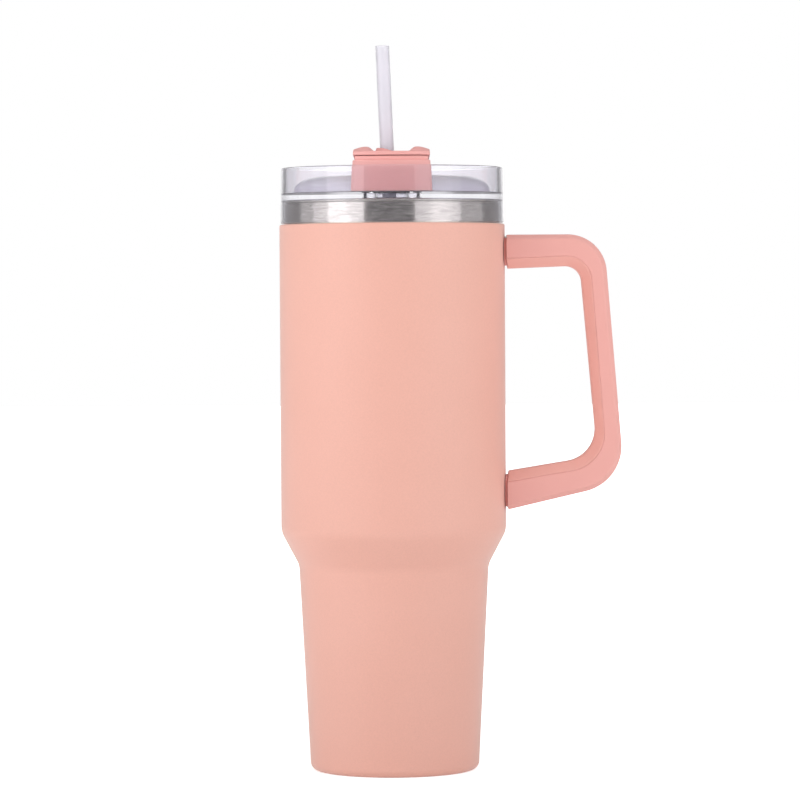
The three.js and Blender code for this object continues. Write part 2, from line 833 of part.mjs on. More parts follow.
const straw = () =>
  alongStraw(revolve(ring(strawRadius - strawWall, strawRadius, 0, strawLength), smallFacets));

// Silicone bush in the fixed tube. Its hole follows the leaning straw.
function strawSeal() {
  const tubeBottom = deckBottom - tubeBelowDeck;
  const flangeTop = tubeBottom - clearance;
  const body = revolve(
    [
      [0, flangeTop - bush.flange],
      [tubeRadius, flangeTop - bush.flange],
      [tubeRadius, flangeTop],
      [tubeBore - clearance, flangeTop],
      [tubeBore - clearance, tubeBottom + bush.height],
      [0, tubeBottom + bush.height],
    ],
    smallFacets,
  );
  const hole = alongStraw(revolve(rod(strawRadius + clearance, 0, strawLength), smallFacets));
  return toGeometry(toSolid(body).subtract(toSolid(hole)));
}

// ---- The tumbler ----

addPiece("outer_shell", outerShell(), powderCoat);
addPiece("inner_liner", innerLiner(), brushedSteel);
addPiece("liner_foil", linerFoil(), copper);
addPiece("base_plate", basePlate(), brushedSteel);
addPiece("base_cap", baseCap(), brushedSteel);
addPiece("vacuum_seal", vacuumSeal(), glassSolder);
addPiece("getter", getter(), getterMetal);
addPiece("getter_strap", getterStrap(), brushedSteel);

addPiece("handle_frame", handleFrame(), pinkPlastic);
addPiece("handle_grip", handleGrip(), softGrip);
for (const arm of arms) {
  addPiece(`${arm.name}_bracket`, bracket(arm), brushedSteel);
  addPiece(`${arm.name}_pad`, endPad(arm), padRubber);
  addPiece(`${arm.name}_screw`, screwSolid(arm), brushedSteel);
}

addPiece("lid_body", lidBody(), clearPlastic);
addPiece("lid_gasket", lidGasket(), silicone);
addPiece("straw_seal", strawSeal(), silicone);
addPiece("retainer_ring", retainerRing(), clearPlastic);
addPiece("turn_disc", turnDisc(), clearPlastic);
addPiece("turn_bar", turnBar(), pinkPlastic);
addPiece("bar_cap", barCap(), pinkPlastic);
addPiece("hub_seal", hubSeal(), silicone);
addPiece("sip_seal", sipSeal(), silicone);
addPiece("vent_seal", ventSeal(), silicone);
addPiece("straw", straw(), strawPlastic);

export default tumbler;
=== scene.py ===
# Insulated steel tumbler with a side handle, a clear press-on lid, a turning drink cover and a straw.
# Outlines are in millimetres, because that is how such parts are drawn, and MM turns them to metres.
import json
import math

import bmesh
import bpy
from mathutils import Matrix, Vector


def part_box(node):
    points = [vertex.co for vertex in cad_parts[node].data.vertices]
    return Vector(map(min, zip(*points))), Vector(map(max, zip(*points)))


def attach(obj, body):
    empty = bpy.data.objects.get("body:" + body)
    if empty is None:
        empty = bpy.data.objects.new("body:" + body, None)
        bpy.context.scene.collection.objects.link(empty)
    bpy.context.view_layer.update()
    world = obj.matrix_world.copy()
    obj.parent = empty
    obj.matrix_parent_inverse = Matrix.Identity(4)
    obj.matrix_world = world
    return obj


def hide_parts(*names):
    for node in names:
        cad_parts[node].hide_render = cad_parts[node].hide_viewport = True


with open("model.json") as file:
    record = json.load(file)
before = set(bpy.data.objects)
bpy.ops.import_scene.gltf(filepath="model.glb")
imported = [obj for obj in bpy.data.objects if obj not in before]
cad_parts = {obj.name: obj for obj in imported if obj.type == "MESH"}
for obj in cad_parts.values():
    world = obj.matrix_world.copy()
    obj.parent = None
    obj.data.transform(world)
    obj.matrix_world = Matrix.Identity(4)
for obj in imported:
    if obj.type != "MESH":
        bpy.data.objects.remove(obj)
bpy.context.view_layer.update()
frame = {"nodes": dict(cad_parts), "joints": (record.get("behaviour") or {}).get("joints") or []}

MM = 0.001
ROUND = 176  # facets round the body and the lid
SMALL_ROUND = 64  # facets round the straw, the hub and the seals
STUD_ROUND = 40  # facets round the drink pad's stud and the vent pad
VENT_ROUND = 32
BEND_STEPS = 8
SHARP_ANGLE = math.radians(32)  # edges steeper than this stay crisp
ON_AXIS = 1e-6
GAP = 0.3  # between pieces that touch or are welded
PAST = 2.0  # how far a cutter runs past what it cuts


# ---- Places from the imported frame, in millimetres ----

def box(node):
    low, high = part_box(node)
    return low / MM, high / MM


shell_low = box("outer_shell")[0]
liner_low, liner_high = box("inner_liner")
cap_high = box("base_cap")[1]
lid_low, lid_high = box("lid_body")
gasket_low, gasket_high = box("lid_gasket")
bush_low, bush_high = box("straw_seal")
disc_low, disc_high = box("turn_disc")
bar_low, bar_high = box("turn_bar")
lever_high = box("bar_cap")[1]
washer_low, washer_high = box("hub_seal")
sip_low, sip_high = box("sip_seal")
vent_low, vent_high = box("vent_seal")
straw_low, straw_high = box("straw")
frame_high = box("handle_frame")[1]
straw_axis = Vector(next(j["axis"] for j in frame["joints"] if j["name"] == "straw_pull")).normalized()

# The vessel. Radii and heights that no box gives are the drawn ones.
BODY_RADIUS = -shell_low.x
LIP_TOP = liner_high.z
LINER_FLOOR = liner_low.z
NECK_RADIUS = liner_high.x
NECK_HEIGHT = 10.0
LIP_HEIGHT = 0.8
BODY_TOP = LIP_TOP - NECK_HEIGHT
SHOULDER_TOP = 104.0
WAIST_HEIGHT = 89.4
WAIST_STEP = 7.7
WAIST_RADIUS = BODY_RADIUS - WAIST_STEP
FOOT_TAPER = 4.7
FOOT_RADIUS = WAIST_RADIUS - FOOT_TAPER
FOOT_RING = 6.6
SHOULDER_BEND = 10.0
FOOT_BEND = 3.5
TOP_BEND = 0.8
OUTER_WALL = 0.6
LINER_WALL = 0.5
LINER_RADIUS = NECK_RADIUS - OUTER_WALL - GAP
LINER_BEND = 8.0

# The lid.
LID_RADIUS = lid_high.x
RIM_HEIGHT = 11.5  # over the deck
SKIRT_BOTTOM = lid_low.z
SKIRT_CLEARANCE = 0.4  # between the skirt and the neck
LID_DRAFT = 0.35
RIM_WALL = 2.4
RIM_EASE = 0.6
DECK_BOTTOM = LIP_TOP + GAP
DECK_TOP = disc_low.z - GAP
LID_TOP = DECK_TOP + RIM_HEIGHT
PLUG_RADIUS = LINER_RADIUS - LINER_WALL - 2.1
PLUG_WALL = 1.8
PLUG_BOTTOM = DECK_BOTTOM - 9.5
GROOVE_RISE = 2.5  # from the plug's foot up to the gasket's groove
GROOVE_HEIGHT = 4.0
GROOVE_DEPTH = 0.8
TUBE_BORE = 6.2
TUBE_RADIUS = 7.8
TUBE_BOTTOM = DECK_BOTTOM - 6.0
TUBE_TOP = bar_high.z
SLOT_LENGTH = 22.6
SLOT_WIDTH = 10.0
SLOT_INSET = 11.1  # from the disc's edge in to the middle of the drink opening
SLOT_REACH = disc_high.x - SLOT_INSET
VENT_RADIUS = 1.5
BUSH_CLEARANCE = 0.15  # between the straw and its bush

# The turning cover.
DISC_RADIUS = disc_high.x
DISC_SHOULDER = 12.2
DISC_FOOT = 1.0
DISC_WALL = 1.8
HUB_HOLE = 10.2
HUB_RADIUS = 9.9
HUB_BORE = 8.1
BAR_HALF = bar_high.x
BAR_END = bar_high.y
BAR_DRAFT = 0.7
BAR_CORNER = 2.6
BAR_WALL = 1.8
BAR_FLOOR = disc_high.z + GAP + BAR_WALL
BAND_HEIGHT = 1.8  # of the narrow step that leaves a shadow line under the cap
BAND_INSET = 0.8
LEVER_BOTTOM = bar_high.z + GAP
LEVER_PLATE = 1.7
LEVER_TOP = LEVER_BOTTOM + LEVER_PLATE
LEVER_EASE = 0.45
# A finger ridge: across the bar it starts at its foot, is level at its crest and falls to its edge height.
RIDGE = {"foot": 6.2, "crest": (10.4, 11.4), "height": 2.4, "edge": 0.7, "length": 66.0, "slope": 6.0}
# The collar: its radii, and the stretch of X over which it falls to its least share of the height.
COLLAR = {
    "height": lever_high.z - LEVER_TOP, "crown": 6.5, "foot": 7.5,
    "high": -6.2, "low": 5.0, "least": 0.15,
}

# The handle, as the corners of its outer and inner outlines: (x, z, bend radius).
ARM_START = BODY_RADIUS + 1.6
OUTER_CORNERS = [
    (BODY_RADIUS, 232.6, 0),
    (91.7, 232.6, 17),
    (100.4, 125.1, 20),
    (BODY_RADIUS, 113.2, 0),
]
INNER_CORNERS = [
    (BODY_RADIUS, 217.9, 0),
    (81.7, 219.1, 7),
    (89.0, 136.2, 14),
    (BODY_RADIUS, 129.7, 0),
]
HANDLE_HALF = frame_high.y
GRIP_DEPTH = 4.3
GRIP_FACE = 11.0
FRAME_BEVEL = 1.9
FRAME_FACE = 16.6
SEAM = 0.04  # what shows of the joint between the frame and the grip
GRIP_STEP = 0.25  # how far the grip's sides sit inside the frame's
PAD_TUCK = 2.2  # how far a pad's edge is drawn in from its CAD one, so that the arm hides it
PAD_THICKNESS = 1.0
PAD_EASE = 0.3
PAD_CORNER = 5.0
PAD_FACE_INSET = 4.0  # from a pad's edge in to the flat middle of its faces


# ---- Colours and nodes ----

def from_hex(code):
    """Linear RGBA of an sRGB hex colour."""
    values = [int(code[i:i + 2], 16) / 255 for i in (1, 3, 5)]
    linear = [v / 12.92 if v <= 0.04045 else ((v + 0.055) / 1.055) ** 2.4 for v in values]
    return (*linear, 1.0)


def add(tree, kind, inputs=None, **settings):
    """Adds a shader node. Inputs are values, or sockets to link, by the input's name or number."""
    made = tree.nodes.new("ShaderNode" + kind)
    for name, value in settings.items():
        setattr(made, name, value)
    for key, value in (inputs or {}).items():
        if isinstance(value, bpy.types.NodeSocket):
            tree.links.new(value, made.inputs[key])
        else:
            made.inputs[key].default_value = value
    return made


def per(size):
    """Texture scale of a pattern whose marks are that many millimetres across."""
    return 1 / (size * MM)


def new_material(name):
    made = bpy.data.materials.new(name)
    made.use_nodes = True
    made.node_tree.nodes.clear()
    return made, made.node_tree


def place_on(tree):
    return add(tree, "TexCoord").outputs["Object"]


def seen_straight(tree):
    """1 for what is seen directly or through clear pieces, 0 for what only lights or mirrors in a piece."""
    ray = add(tree, "LightPath")
    bounced = add(tree, "Math", {0: ray.outputs["Diffuse Depth"], 1: ray.outputs["Glossy Depth"]},
                  operation="ADD")
    straight = add(tree, "Math", {0: 1.0, 1: bounced.outputs[0]}, operation="SUBTRACT", use_clamp=True)
    through = add(tree, "Math", {0: ray.outputs["Is Transmission Ray"], 1: straight.outputs[0]},
                  operation="MULTIPLY")
    return add(tree, "Math", {0: ray.outputs["Is Camera Ray"], 1: through.outputs[0]},
               operation="MAXIMUM").outputs[0]


# ---- Finishes ----

def powder_coat():
    """Polyester powder coat baked on steel: a satin skin with a fine pebble grain and no clear gloss.
    The real grain is about 0.2 mm and is drawn at 0.7 mm, so that it shows."""
    made, tree = new_material("pink_powder_coat")
    place = place_on(tree)
    grain = add(tree, "TexNoise", {"Vector": place, "Scale": per(0.7), "Detail": 3.0, "Roughness": 0.6})
    cloud = add(tree, "TexNoise", {"Vector": place, "Scale": per(34), "Detail": 2.0})
    tint = add(tree, "MixRGB", {
        "Fac": cloud.outputs["Fac"], "Color1": from_hex("#E9AF9F"), "Color2": from_hex("#ECB3A4"),
    })
    speck = add(tree, "MapRange", {"Value": grain.outputs["Fac"], "From Min": 0.3, "From Max": 0.7,
                                   "To Min": 0.965, "To Max": 1.02})
    colour = add(tree, "MixRGB", {"Fac": 1.0, "Color1": tint.outputs["Color"],
                                  "Color2": speck.outputs["Result"]}, blend_type="MULTIPLY")
    rough = add(tree, "MapRange", {"Value": grain.outputs["Fac"], "To Min": 0.42, "To Max": 0.54})
    bump = add(tree, "Bump", {"Height": grain.outputs["Fac"], "Strength": 0.16, "Distance": 0.12 * MM})
    shader = add(tree, "BsdfPrincipled", {
        "Base Color": colour.outputs["Color"], "Roughness": rough.outputs["Result"],
        "Normal": bump.outputs["Normal"], "IOR": 1.5, "Sheen Weight": 0.4, "Sheen Roughness": 0.4,
    })
    add(tree, "OutputMaterial", {"Surface": shader.outputs["BSDF"]})
    return made


def brushed_steel(name, streak, rough, depth):
    """Stainless 304, brushed on a lathe, so that fine lines run round the axis and smear the light upright.
    The real lines are about 0.05 mm apart and are drawn at the streak's size, so that they show."""
    streak_length = 5
    made, tree = new_material(name)
    place = place_on(tree)
    parts = add(tree, "SeparateXYZ", {"Vector": place})
    radius = add(tree, "VectorMath", {0: place, 1: (1.0, 1.0, 0.0)}, operation="MULTIPLY")
    radius = add(tree, "VectorMath", {0: radius.outputs["Vector"]}, operation="LENGTH")
    across = add(tree, "Math", {0: parts.outputs["Z"], 1: radius.outputs["Value"]}, operation="ADD")
    across = add(tree, "Math", {0: across.outputs[0], 1: per(streak)}, operation="MULTIPLY")
    along_x = add(tree, "Math", {0: parts.outputs["X"], 1: per(streak_length)}, operation="MULTIPLY")
    along_y = add(tree, "Math", {0: parts.outputs["Y"], 1: per(streak_length)}, operation="MULTIPLY")
    lines = add(tree, "CombineXYZ", {"X": along_x.outputs[0], "Y": along_y.outputs[0],
                                     "Z": across.outputs[0]})
    brush = add(tree, "TexNoise", {"Vector": lines.outputs["Vector"], "Scale": 1.0, "Detail": 4.0,
                                   "Roughness": 0.65})
    colour = add(tree, "MixRGB", {"Fac": brush.outputs["Fac"], "Color1": from_hex("#9C968F"),
                                  "Color2": from_hex("#EAE5DD")})
    rough = add(tree, "MapRange", {"Value": brush.outputs["Fac"], "From Min": 0.3, "From Max": 0.7,
                                   "To Min": rough[0], "To Max": rough[1]})
    bump = add(tree, "Bump", {"Height": brush.outputs["Fac"], "Strength": depth, "Distance": 0.05 * MM})
    around = add(tree, "Tangent", direction_type="RADIAL", axis="Z")
    shader = add(tree, "BsdfPrincipled", {
        "Base Color": colour.outputs["Color"], "Metallic": 1.0, "Roughness": rough.outputs["Result"],
        "Anisotropic": 0.75, "Anisotropic Rotation": 0.25, "Normal": bump.outputs["Normal"],
        "Tangent": around.outputs["Tangent"],
    })
    add(tree, "OutputMaterial", {"Surface": shader.outputs["BSDF"]})
    return made


def copper_foil():
    """Copper foil wrapped by hand round the liner, so that it is bright, with soft creases."""
    made, tree = new_material("copper_foil")
    crease = add(tree, "TexVoronoi", {"Vector": place_on(tree), "Scale": per(9), "Randomness": 1.0},
                 feature="SMOOTH_F1")
    colour = add(tree, "MixRGB", {"Fac": crease.outputs["Distance"], "Color1": from_hex("#C98A5E"),
                                  "Color2": from_hex("#E0A47A")})
    bump = add(tree, "Bump", {"Height": crease.outputs["Distance"], "Strength": 0.5, "Distance": 0.3 * MM})
    shader = add(tree, "BsdfPrincipled", {"Base Color": colour.outputs["Color"], "Metallic": 1.0,
                                          "Roughness": 0.28, "Normal": bump.outputs["Normal"]})
    add(tree, "OutputMaterial", {"Surface": shader.outputs["BSDF"]})
    return made


def solder_glass():
    """Solder glass melted over the pump hole: dark, glossy and slightly wavy."""
    made, tree = new_material("solder_glass")
    wave = add(tree, "TexNoise", {"Vector": place_on(tree), "Scale": per(1.2), "Detail": 2.0})
    colour = add(tree, "MixRGB", {"Fac": wave.outputs["Fac"], "Color1": from_hex("#2E2C2A"),
                                  "Color2": from_hex("#47433F")})
    bump = add(tree, "Bump", {"Height": wave.outputs["Fac"], "Strength": 0.3, "Distance": 0.1 * MM})
    shader = add(tree, "BsdfPrincipled", {"Base Color": colour.outputs["Color"], "Roughness": 0.15,
                                          "IOR": 1.8, "Normal": bump.outputs["Normal"]})
    add(tree, "OutputMaterial", {"Surface": shader.outputs["BSDF"]})
    return made


def sintered_getter():
    """Zirconium powder pressed and sintered to a pellet: matte, dark and grainy."""
    made, tree = new_material("sintered_getter")
    grain = add(tree, "TexVoronoi", {"Vector": place_on(tree), "Scale": per(0.35)})
    colour = add(tree, "MixRGB", {"Fac": grain.outputs["Distance"], "Color1": from_hex("#4C4B4A"),
                                  "Color2": from_hex("#6E6C6A")})
    bump = add(tree, "Bump", {"Height": grain.outputs["Distance"], "Strength": 0.6, "Distance": 0.1 * MM})
    shader = add(tree, "BsdfPrincipled", {"Base Color": colour.outputs["Color"], "Metallic": 0.7,
                                          "Roughness": 0.75, "Normal": bump.outputs["Normal"]})
    add(tree, "OutputMaterial", {"Surface": shader.outputs["BSDF"]})
    return made


def moulded(name, dark, light, rough, depth, gloss=0.5, velvet=0.0):
    """Injection-moulded plastic or rubber, its mould spark-eroded, so that the skin is an even fine grit.
    Real grit is about 0.05 mm and is drawn at 0.5 mm, so that it shows."""
    grit = 0.5
    spread = 0.05
    made, tree = new_material(name)
    place = place_on(tree)
    skin = add(tree, "TexNoise", {"Vector": place, "Scale": per(grit), "Detail": 2.0, "Roughness": 0.55})
    flow = add(tree, "TexNoise", {"Vector": place, "Scale": per(18), "Detail": 2.0})
    colour = add(tree, "MixRGB", {"Fac": flow.outputs["Fac"], "Color1": from_hex(dark),
                                  "Color2": from_hex(light)})
    shade = add(tree, "MapRange", {"Value": skin.outputs["Fac"], "From Min": 0.3, "From Max": 0.7,
                                   "To Min": rough - spread, "To Max": rough + spread})
    bump = add(tree, "Bump", {"Height": skin.outputs["Fac"], "Strength": depth, "Distance": 0.08 * MM})
    shader = add(tree, "BsdfPrincipled", {
        "Base Color": colour.outputs["Color"], "Roughness": shade.outputs["Result"],
        "Specular IOR Level": gloss, "Sheen Weight": velvet, "Sheen Roughness": 0.5,
        "Normal": bump.outputs["Normal"],
    })
    add(tree, "OutputMaterial", {"Surface": shader.outputs["BSDF"]})
    return made


def see_through(name, tint, shadow, rough, ior, wave, haze, edge=0.0):
    """Plastic or silicone that light passes through, moulded or extruded, so that its skin is smooth and
    faintly wavy. Wave is the size and the depth of that. Haze is the share of the light that it scatters
    like milk, and edge is what that gains where the skin is seen at a slant. Lamps shine through it,
    tinted a little, so that it throws only a pale shadow."""
    thrown_back = 0.6  # of the scattered light
    made, tree = new_material(name)
    place = place_on(tree)
    wave_size, wave_depth = wave
    flow = add(tree, "TexNoise", {"Vector": place, "Scale": per(wave_size), "Detail": 1.0})
    polish = add(tree, "MapRange", {"Value": flow.outputs["Fac"], "To Min": rough[0], "To Max": rough[1]})
    bump = add(tree, "Bump", {"Height": flow.outputs["Fac"], "Strength": wave_depth, "Distance": 0.05 * MM})
    shader = add(tree, "BsdfPrincipled", {
        "Base Color": from_hex(tint), "Roughness": polish.outputs["Result"], "IOR": ior,
        "Transmission Weight": 1.0, "Normal": bump.outputs["Normal"],
    })
    through = add(tree, "BsdfTranslucent", {"Color": from_hex(tint)})
    back = add(tree, "BsdfDiffuse", {"Color": from_hex(tint)})
    milk = add(tree, "MixShader", {0: thrown_back, 1: through.outputs["BSDF"], 2: back.outputs["BSDF"]})
    facing = add(tree, "LayerWeight", {"Blend": 0.25})
    cloud = add(tree, "MapRange", {"Value": facing.outputs["Facing"], "From Min": 0.3, "From Max": 1.0,
                                   "To Min": haze, "To Max": haze + edge})
    body = add(tree, "MixShader", {0: cloud.outputs["Result"], 1: shader.outputs["BSDF"],
                                   2: milk.outputs["Shader"]})
    lamp = add(tree, "BsdfTransparent", {"Color": from_hex(shadow)})
    ray = add(tree, "LightPath")
    both = add(tree, "MixShader", {0: ray.outputs["Is Shadow Ray"], 1: body.outputs["Shader"],
                                   2: lamp.outputs["BSDF"]})
    add(tree, "OutputMaterial", {"Surface": both.outputs["Shader"]})
    return made


def pale_floor():
    """Matte white laminate on the studio table, with a faint grain. It glows, though it is no lamp. Seen
    straight, it glows up to white away from the tumbler and less close to it, as a painted shadow round its
    foot. What lights the tumbler from below is painted dimmer close to its foot, as painted shade."""
    made, tree = new_material("white_laminate")
    grain = add(tree, "TexNoise", {"Vector": place_on(tree), "Scale": per(60), "Detail": 3.0})
    colour = add(tree, "MixRGB", {"Fac": grain.outputs["Fac"], "Color1": from_hex("#F4F4F4"),
                                  "Color2": from_hex("#FAFAFA")})
    seen = seen_straight(tree)
    away = add(tree, "VectorMath", {0: place_on(tree)}, operation="LENGTH")
    # Painted shade: the floor's colour, where it lights the tumbler, is darker close to its foot.
    dim = add(tree, "MapRange", {"Value": away.outputs["Value"], "From Min": 0.1, "From Max": 0.35,
                                 "To Min": 0.68, "To Max": 1.05})
    base = add(tree, "MixRGB", {"Fac": seen, "Color1": dim.outputs["Result"],
                                "Color2": colour.outputs["Color"]})
    # Painted shadow: seen straight, the floor glows less close to the tumbler.
    shown = add(tree, "MapRange", {"Value": away.outputs["Value"], "From Min": 0.1, "From Max": 0.9,
                                   "To Min": 0.6, "To Max": 1.05})
    glow = add(tree, "MapRange", {"Value": seen, "To Min": 0.22, "To Max": shown.outputs["Result"]})
    shader = add(tree, "BsdfPrincipled", {
        "Base Color": base.outputs["Color"], "Roughness": 0.9, "Specular IOR Level": 0.1,
        "Emission Color": from_hex("#FFFFFF"), "Emission Strength": glow.outputs["Result"],
    })
    add(tree, "OutputMaterial", {"Surface": shader.outputs["BSDF"]})
    return made


COAT = powder_coat()
# The neck is brushed bright for show. The liner is spun, so that its lines are coarser and it shines less.
NECK_STEEL = brushed_steel("brushed_stainless_neck", streak=0.6, rough=(0.13, 0.24), depth=0.22)
LINER_STEEL = brushed_steel("spun_stainless_liner", streak=0.8, rough=(0.3, 0.45), depth=0.2)
PART_STEEL = brushed_steel("stamped_stainless_parts", streak=0.4, rough=(0.28, 0.42), depth=0.2)
COPPER = copper_foil()
GLASS_BEAD = solder_glass()
GETTER = sintered_getter()
# Satin polypropylene. The cap's pink is painted darker than the bar's, as painted shade against the top
# light that falls on it. The frame's pink is a little darker than the bar's.
BAR_PLASTIC = moulded("pink_polypropylene_bar", "#F3B0AB", "#F7B5B0", rough=0.42, depth=0.12)
CAP_PLASTIC_PAINTED_DARKER = moulded("pink_polypropylene_cap_painted_darker", "#ECA9A4", "#F0AEA9", rough=0.4, depth=0.12)
FRAME_PLASTIC = moulded("pink_polypropylene_frame", "#EBAAA2", "#EFAEA6", rough=0.45, depth=0.12)
# Thermoplastic rubber moulded over the frame is duller, and a faint nap of its grit catches the light.
# Painted light: the grip's pink is paler than the frame's, against the shade that falls on the handle's
# inner faces.
GRIP_RUBBER_PAINTED_PALER = moulded("pink_soft_grip_painted_paler", "#F1B3A9", "#F3B7AD", rough=0.6, depth=0.16, gloss=0.4, velvet=0.08)
# The pads are pink rubber, painted darker than the arms as shade where an arm meets the wall.
PAD_RUBBER_PAINTED_SHADE = moulded("pad_rubber_painted_darker", "#D9958E", "#DF9C95", rough=0.7, depth=0.2, gloss=0.35)
# Styrene comes polished from its mould. The lid is as clear as glass and milky only towards its edges, and
# the disc is hazy all over.
CLEAR_LID = see_through("clear_styrene_lid", "#F8F7FC", "#F4F2F8", rough=(0.02, 0.05), ior=1.46,
                        wave=(16, 0.04), haze=0.03, edge=0.3)
CLEAR_DISC = see_through("clear_styrene_disc", "#F8F6FC", "#EEECF4", rough=(0.03, 0.07), ior=1.5,
                         wave=(16, 0.05), haze=0.4)
# Silicone is cloudy, with a soft shine.
SILICONE = see_through("clear_silicone", "#E9E6E8", "#D8D5D8", rough=(0.3, 0.4), ior=1.41,
                       wave=(3, 0.1), haze=0.2)
# Painted shade: this grey silicone, on the drink pad, stands in for the shade under the bar, seen through
# the deck.
PAINTED_SHADE_SILICONE = see_through("silicone_painted_shade_grey", "#6A6066", "#8A8286", rough=(0.3, 0.4), ior=1.41,
                            wave=(3, 0.1), haze=0.35)
# Extruded polypropylene is frosted, so that what is behind the straw is only a shade.
STRAW_PLASTIC = see_through("frosted_polypropylene_straw", "#F5F4F8", "#E6E2E8", rough=(0.34, 0.44),
                            ior=1.49, wave=(2, 0.1), haze=0.25)
LAMINATE = pale_floor()


# ---- Outlines ----

def bent(corners, steps=BEND_STEPS):
    """Points of a line through (a, b, bend radius) corners, with an arc at each bend."""
    path = []
    for i, (a, b, bend) in enumerate(corners):
        here = Vector((a, b))
        if not bend or i in (0, len(corners) - 1):
            path.append((a, b))
            continue
        back = Vector(corners[i - 1][:2]) - here
        ahead = Vector(corners[i + 1][:2]) - here
        half_angle = back.angle(ahead) / 2
        trim = min(bend / math.tan(half_angle), 0.49 * min(back.length, ahead.length))
        radius = trim * math.tan(half_angle)
        centre = here + (back.normalized() + ahead.normalized()).normalized() * radius / math.sin(half_angle)
        start = here + back.normalized() * trim - centre
        end = here + ahead.normalized() * trim - centre
        turn = start.angle_signed(end)
        for k in range(steps + 1):
            swung = start.copy()
            swung.rotate(Matrix.Rotation(-turn * k / steps, 2))
            path.append(tuple(centre + swung))
    return path


def closed_bent(corners, steps=4):
    """The same for a closed outline, whose every corner may bend."""
    a, b, _ = corners[0]
    c, d, _ = corners[-1]
    middle = ((a + c) / 2, (b + d) / 2, 0)
    return bent([middle, *corners, middle], steps)[:-1]


def moved_in(corners, inset):
    """The corners of a line that runs to the left of another at the inset, with its bends concentric."""
    sides = []
    for (a, b, _), (c, d, _) in zip(corners, corners[1:]):
        along = Vector((c - a, d - b)).normalized()
        sides.append(Vector((-along.y, along.x)))
    moved = []
    for i, (a, b, bend) in enumerate(corners):
        before = sides[max(i - 1, 0)]
        after = sides[min(i, len(sides) - 1)]
        miter = (before + after).normalized()
        point = Vector((a, b)) + miter * inset / miter.dot(before)
        left_turn = before.x * after.y - before.y * after.x > 0
        moved.append((point.x, point.y, bend and max(bend + (-inset if left_turn else inset), 0.1)))
    return moved


def slot_outline(grow, turn=0.0, steps=14):
    """The drink opening in plan: a slot with round ends, on the -Y side, turned about the lid's axis."""
    radius = SLOT_WIDTH / 2 + grow
    half = (SLOT_LENGTH - SLOT_WIDTH) / 2
    points = []
    for side, start in ((1, -math.pi / 2), (-1, math.pi / 2)):
        for k in range(steps + 1):
            angle = start + math.pi * k / steps
            x = side * half + radius * math.cos(angle)
            points.append(Vector((x, radius * math.sin(angle) - SLOT_REACH)))
    for p in points:
        p.rotate(Matrix.Rotation(turn, 2))
    return points


# ---- Solids ----

def turned(outline, facets=ROUND):
    """A solid turned about Z from (radius, height) points. The outline closes on itself or on the axis."""
    mesh = bmesh.new()
    rings = []
    for radius, height in outline:
        count = 1 if radius < ON_AXIS else facets
        turns = (2 * math.pi * k / facets for k in range(count))
        rings.append([mesh.verts.new((radius * math.cos(t) * MM, radius * math.sin(t) * MM, height * MM))
                      for t in turns])
    pairs = list(zip(rings, rings[1:]))
    if len(rings[0]) > 1:
        pairs.append((rings[-1], rings[0]))
    for low, high in pairs:
        for k in range(facets):
            corners = (low[k % len(low)], low[(k + 1) % len(low)],
                       high[(k + 1) % len(high)], high[k % len(high)])
            mesh.faces.new(list(dict.fromkeys(corners)))
    return mesh


def lofted(loops):
    """A solid through loops of (x, y, z) points that all hold the same number of points."""
    mesh = bmesh.new()
    rings = [[mesh.verts.new(Vector(p) * MM) for p in loop] for loop in loops]
    count = len(rings[0])
    for low, high in zip(rings, rings[1:]):
        for k in range(count):
            mesh.faces.new((low[k], low[(k + 1) % count], high[(k + 1) % count], high[k]))
    mesh.faces.new(rings[0][::-1])
    mesh.faces.new(rings[-1])
    return mesh


def straighten(mesh):
    bmesh.ops.recalc_face_normals(mesh, faces=mesh.faces)
    return mesh


def placed(name, mesh):
    """Turns a solid into an object in the scene."""
    data = bpy.data.meshes.new(name)
    mesh.to_mesh(data)
    mesh.free()
    made = bpy.data.objects.new(name, data)
    bpy.context.scene.collection.objects.link(made)
    return made


def combined(first, second, operation):
    """Cuts the second solid from the first, or joins them."""
    pair = [placed("loose", straighten(solid)) for solid in (first, second)]
    cut = pair[0].modifiers.new("cut", "BOOLEAN")
    cut.operation = operation
    cut.solver = "EXACT"
    cut.object = pair[1]
    result = bmesh.new()
    result.from_object(pair[0], bpy.context.evaluated_depsgraph_get())
    for made in pair:
        data = made.data
        bpy.data.objects.remove(made)
        bpy.data.meshes.remove(data)
    return result


def piece(name, mesh, finish, body, slot, *nodes):
    """Makes a solid into a shown piece that rides on its body and stands for its CAD nodes."""
    straighten(mesh)
    for face in mesh.faces:
        face.smooth = True
    for edge in mesh.edges:
        edge.smooth = edge.is_manifold and edge.calc_face_angle() < SHARP_ANGLE
    made = placed(name, mesh)
    made.data.materials.append(finish)
    even = made.modifiers.new("even_normals", "WEIGHTED_NORMAL")
    even.weight = 80
    even.keep_sharp = True
    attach(made, body)
    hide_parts(*nodes)
    return made


# ---- Vessel ----

WALL_CORNERS = [
    (FOOT_RADIUS - FOOT_RING, 0, 0),
    (FOOT_RADIUS, 0, FOOT_BEND),
    (WAIST_RADIUS, WAIST_HEIGHT, SHOULDER_BEND),
    (BODY_RADIUS, SHOULDER_TOP, SHOULDER_BEND),
    (BODY_RADIUS, BODY_TOP, TOP_BEND),
    (NECK_RADIUS, BODY_TOP, 0),
]


def painted_shell():
    """The outer wall up to the step under the lid. Nothing shows its inner side, so one finish is enough."""
    outside = bent(WALL_CORNERS, 12)
    inside = bent(moved_in(WALL_CORNERS, OUTER_WALL), 12)
    inside[0] = (WALL_CORNERS[0][0], OUTER_WALL)
    inside[-1] = (NECK_RADIUS, BODY_TOP - OUTER_WALL)
    piece("painted_shell", turned(outside + inside[::-1]), COAT, "vessel", "powder_coat", "outer_shell")


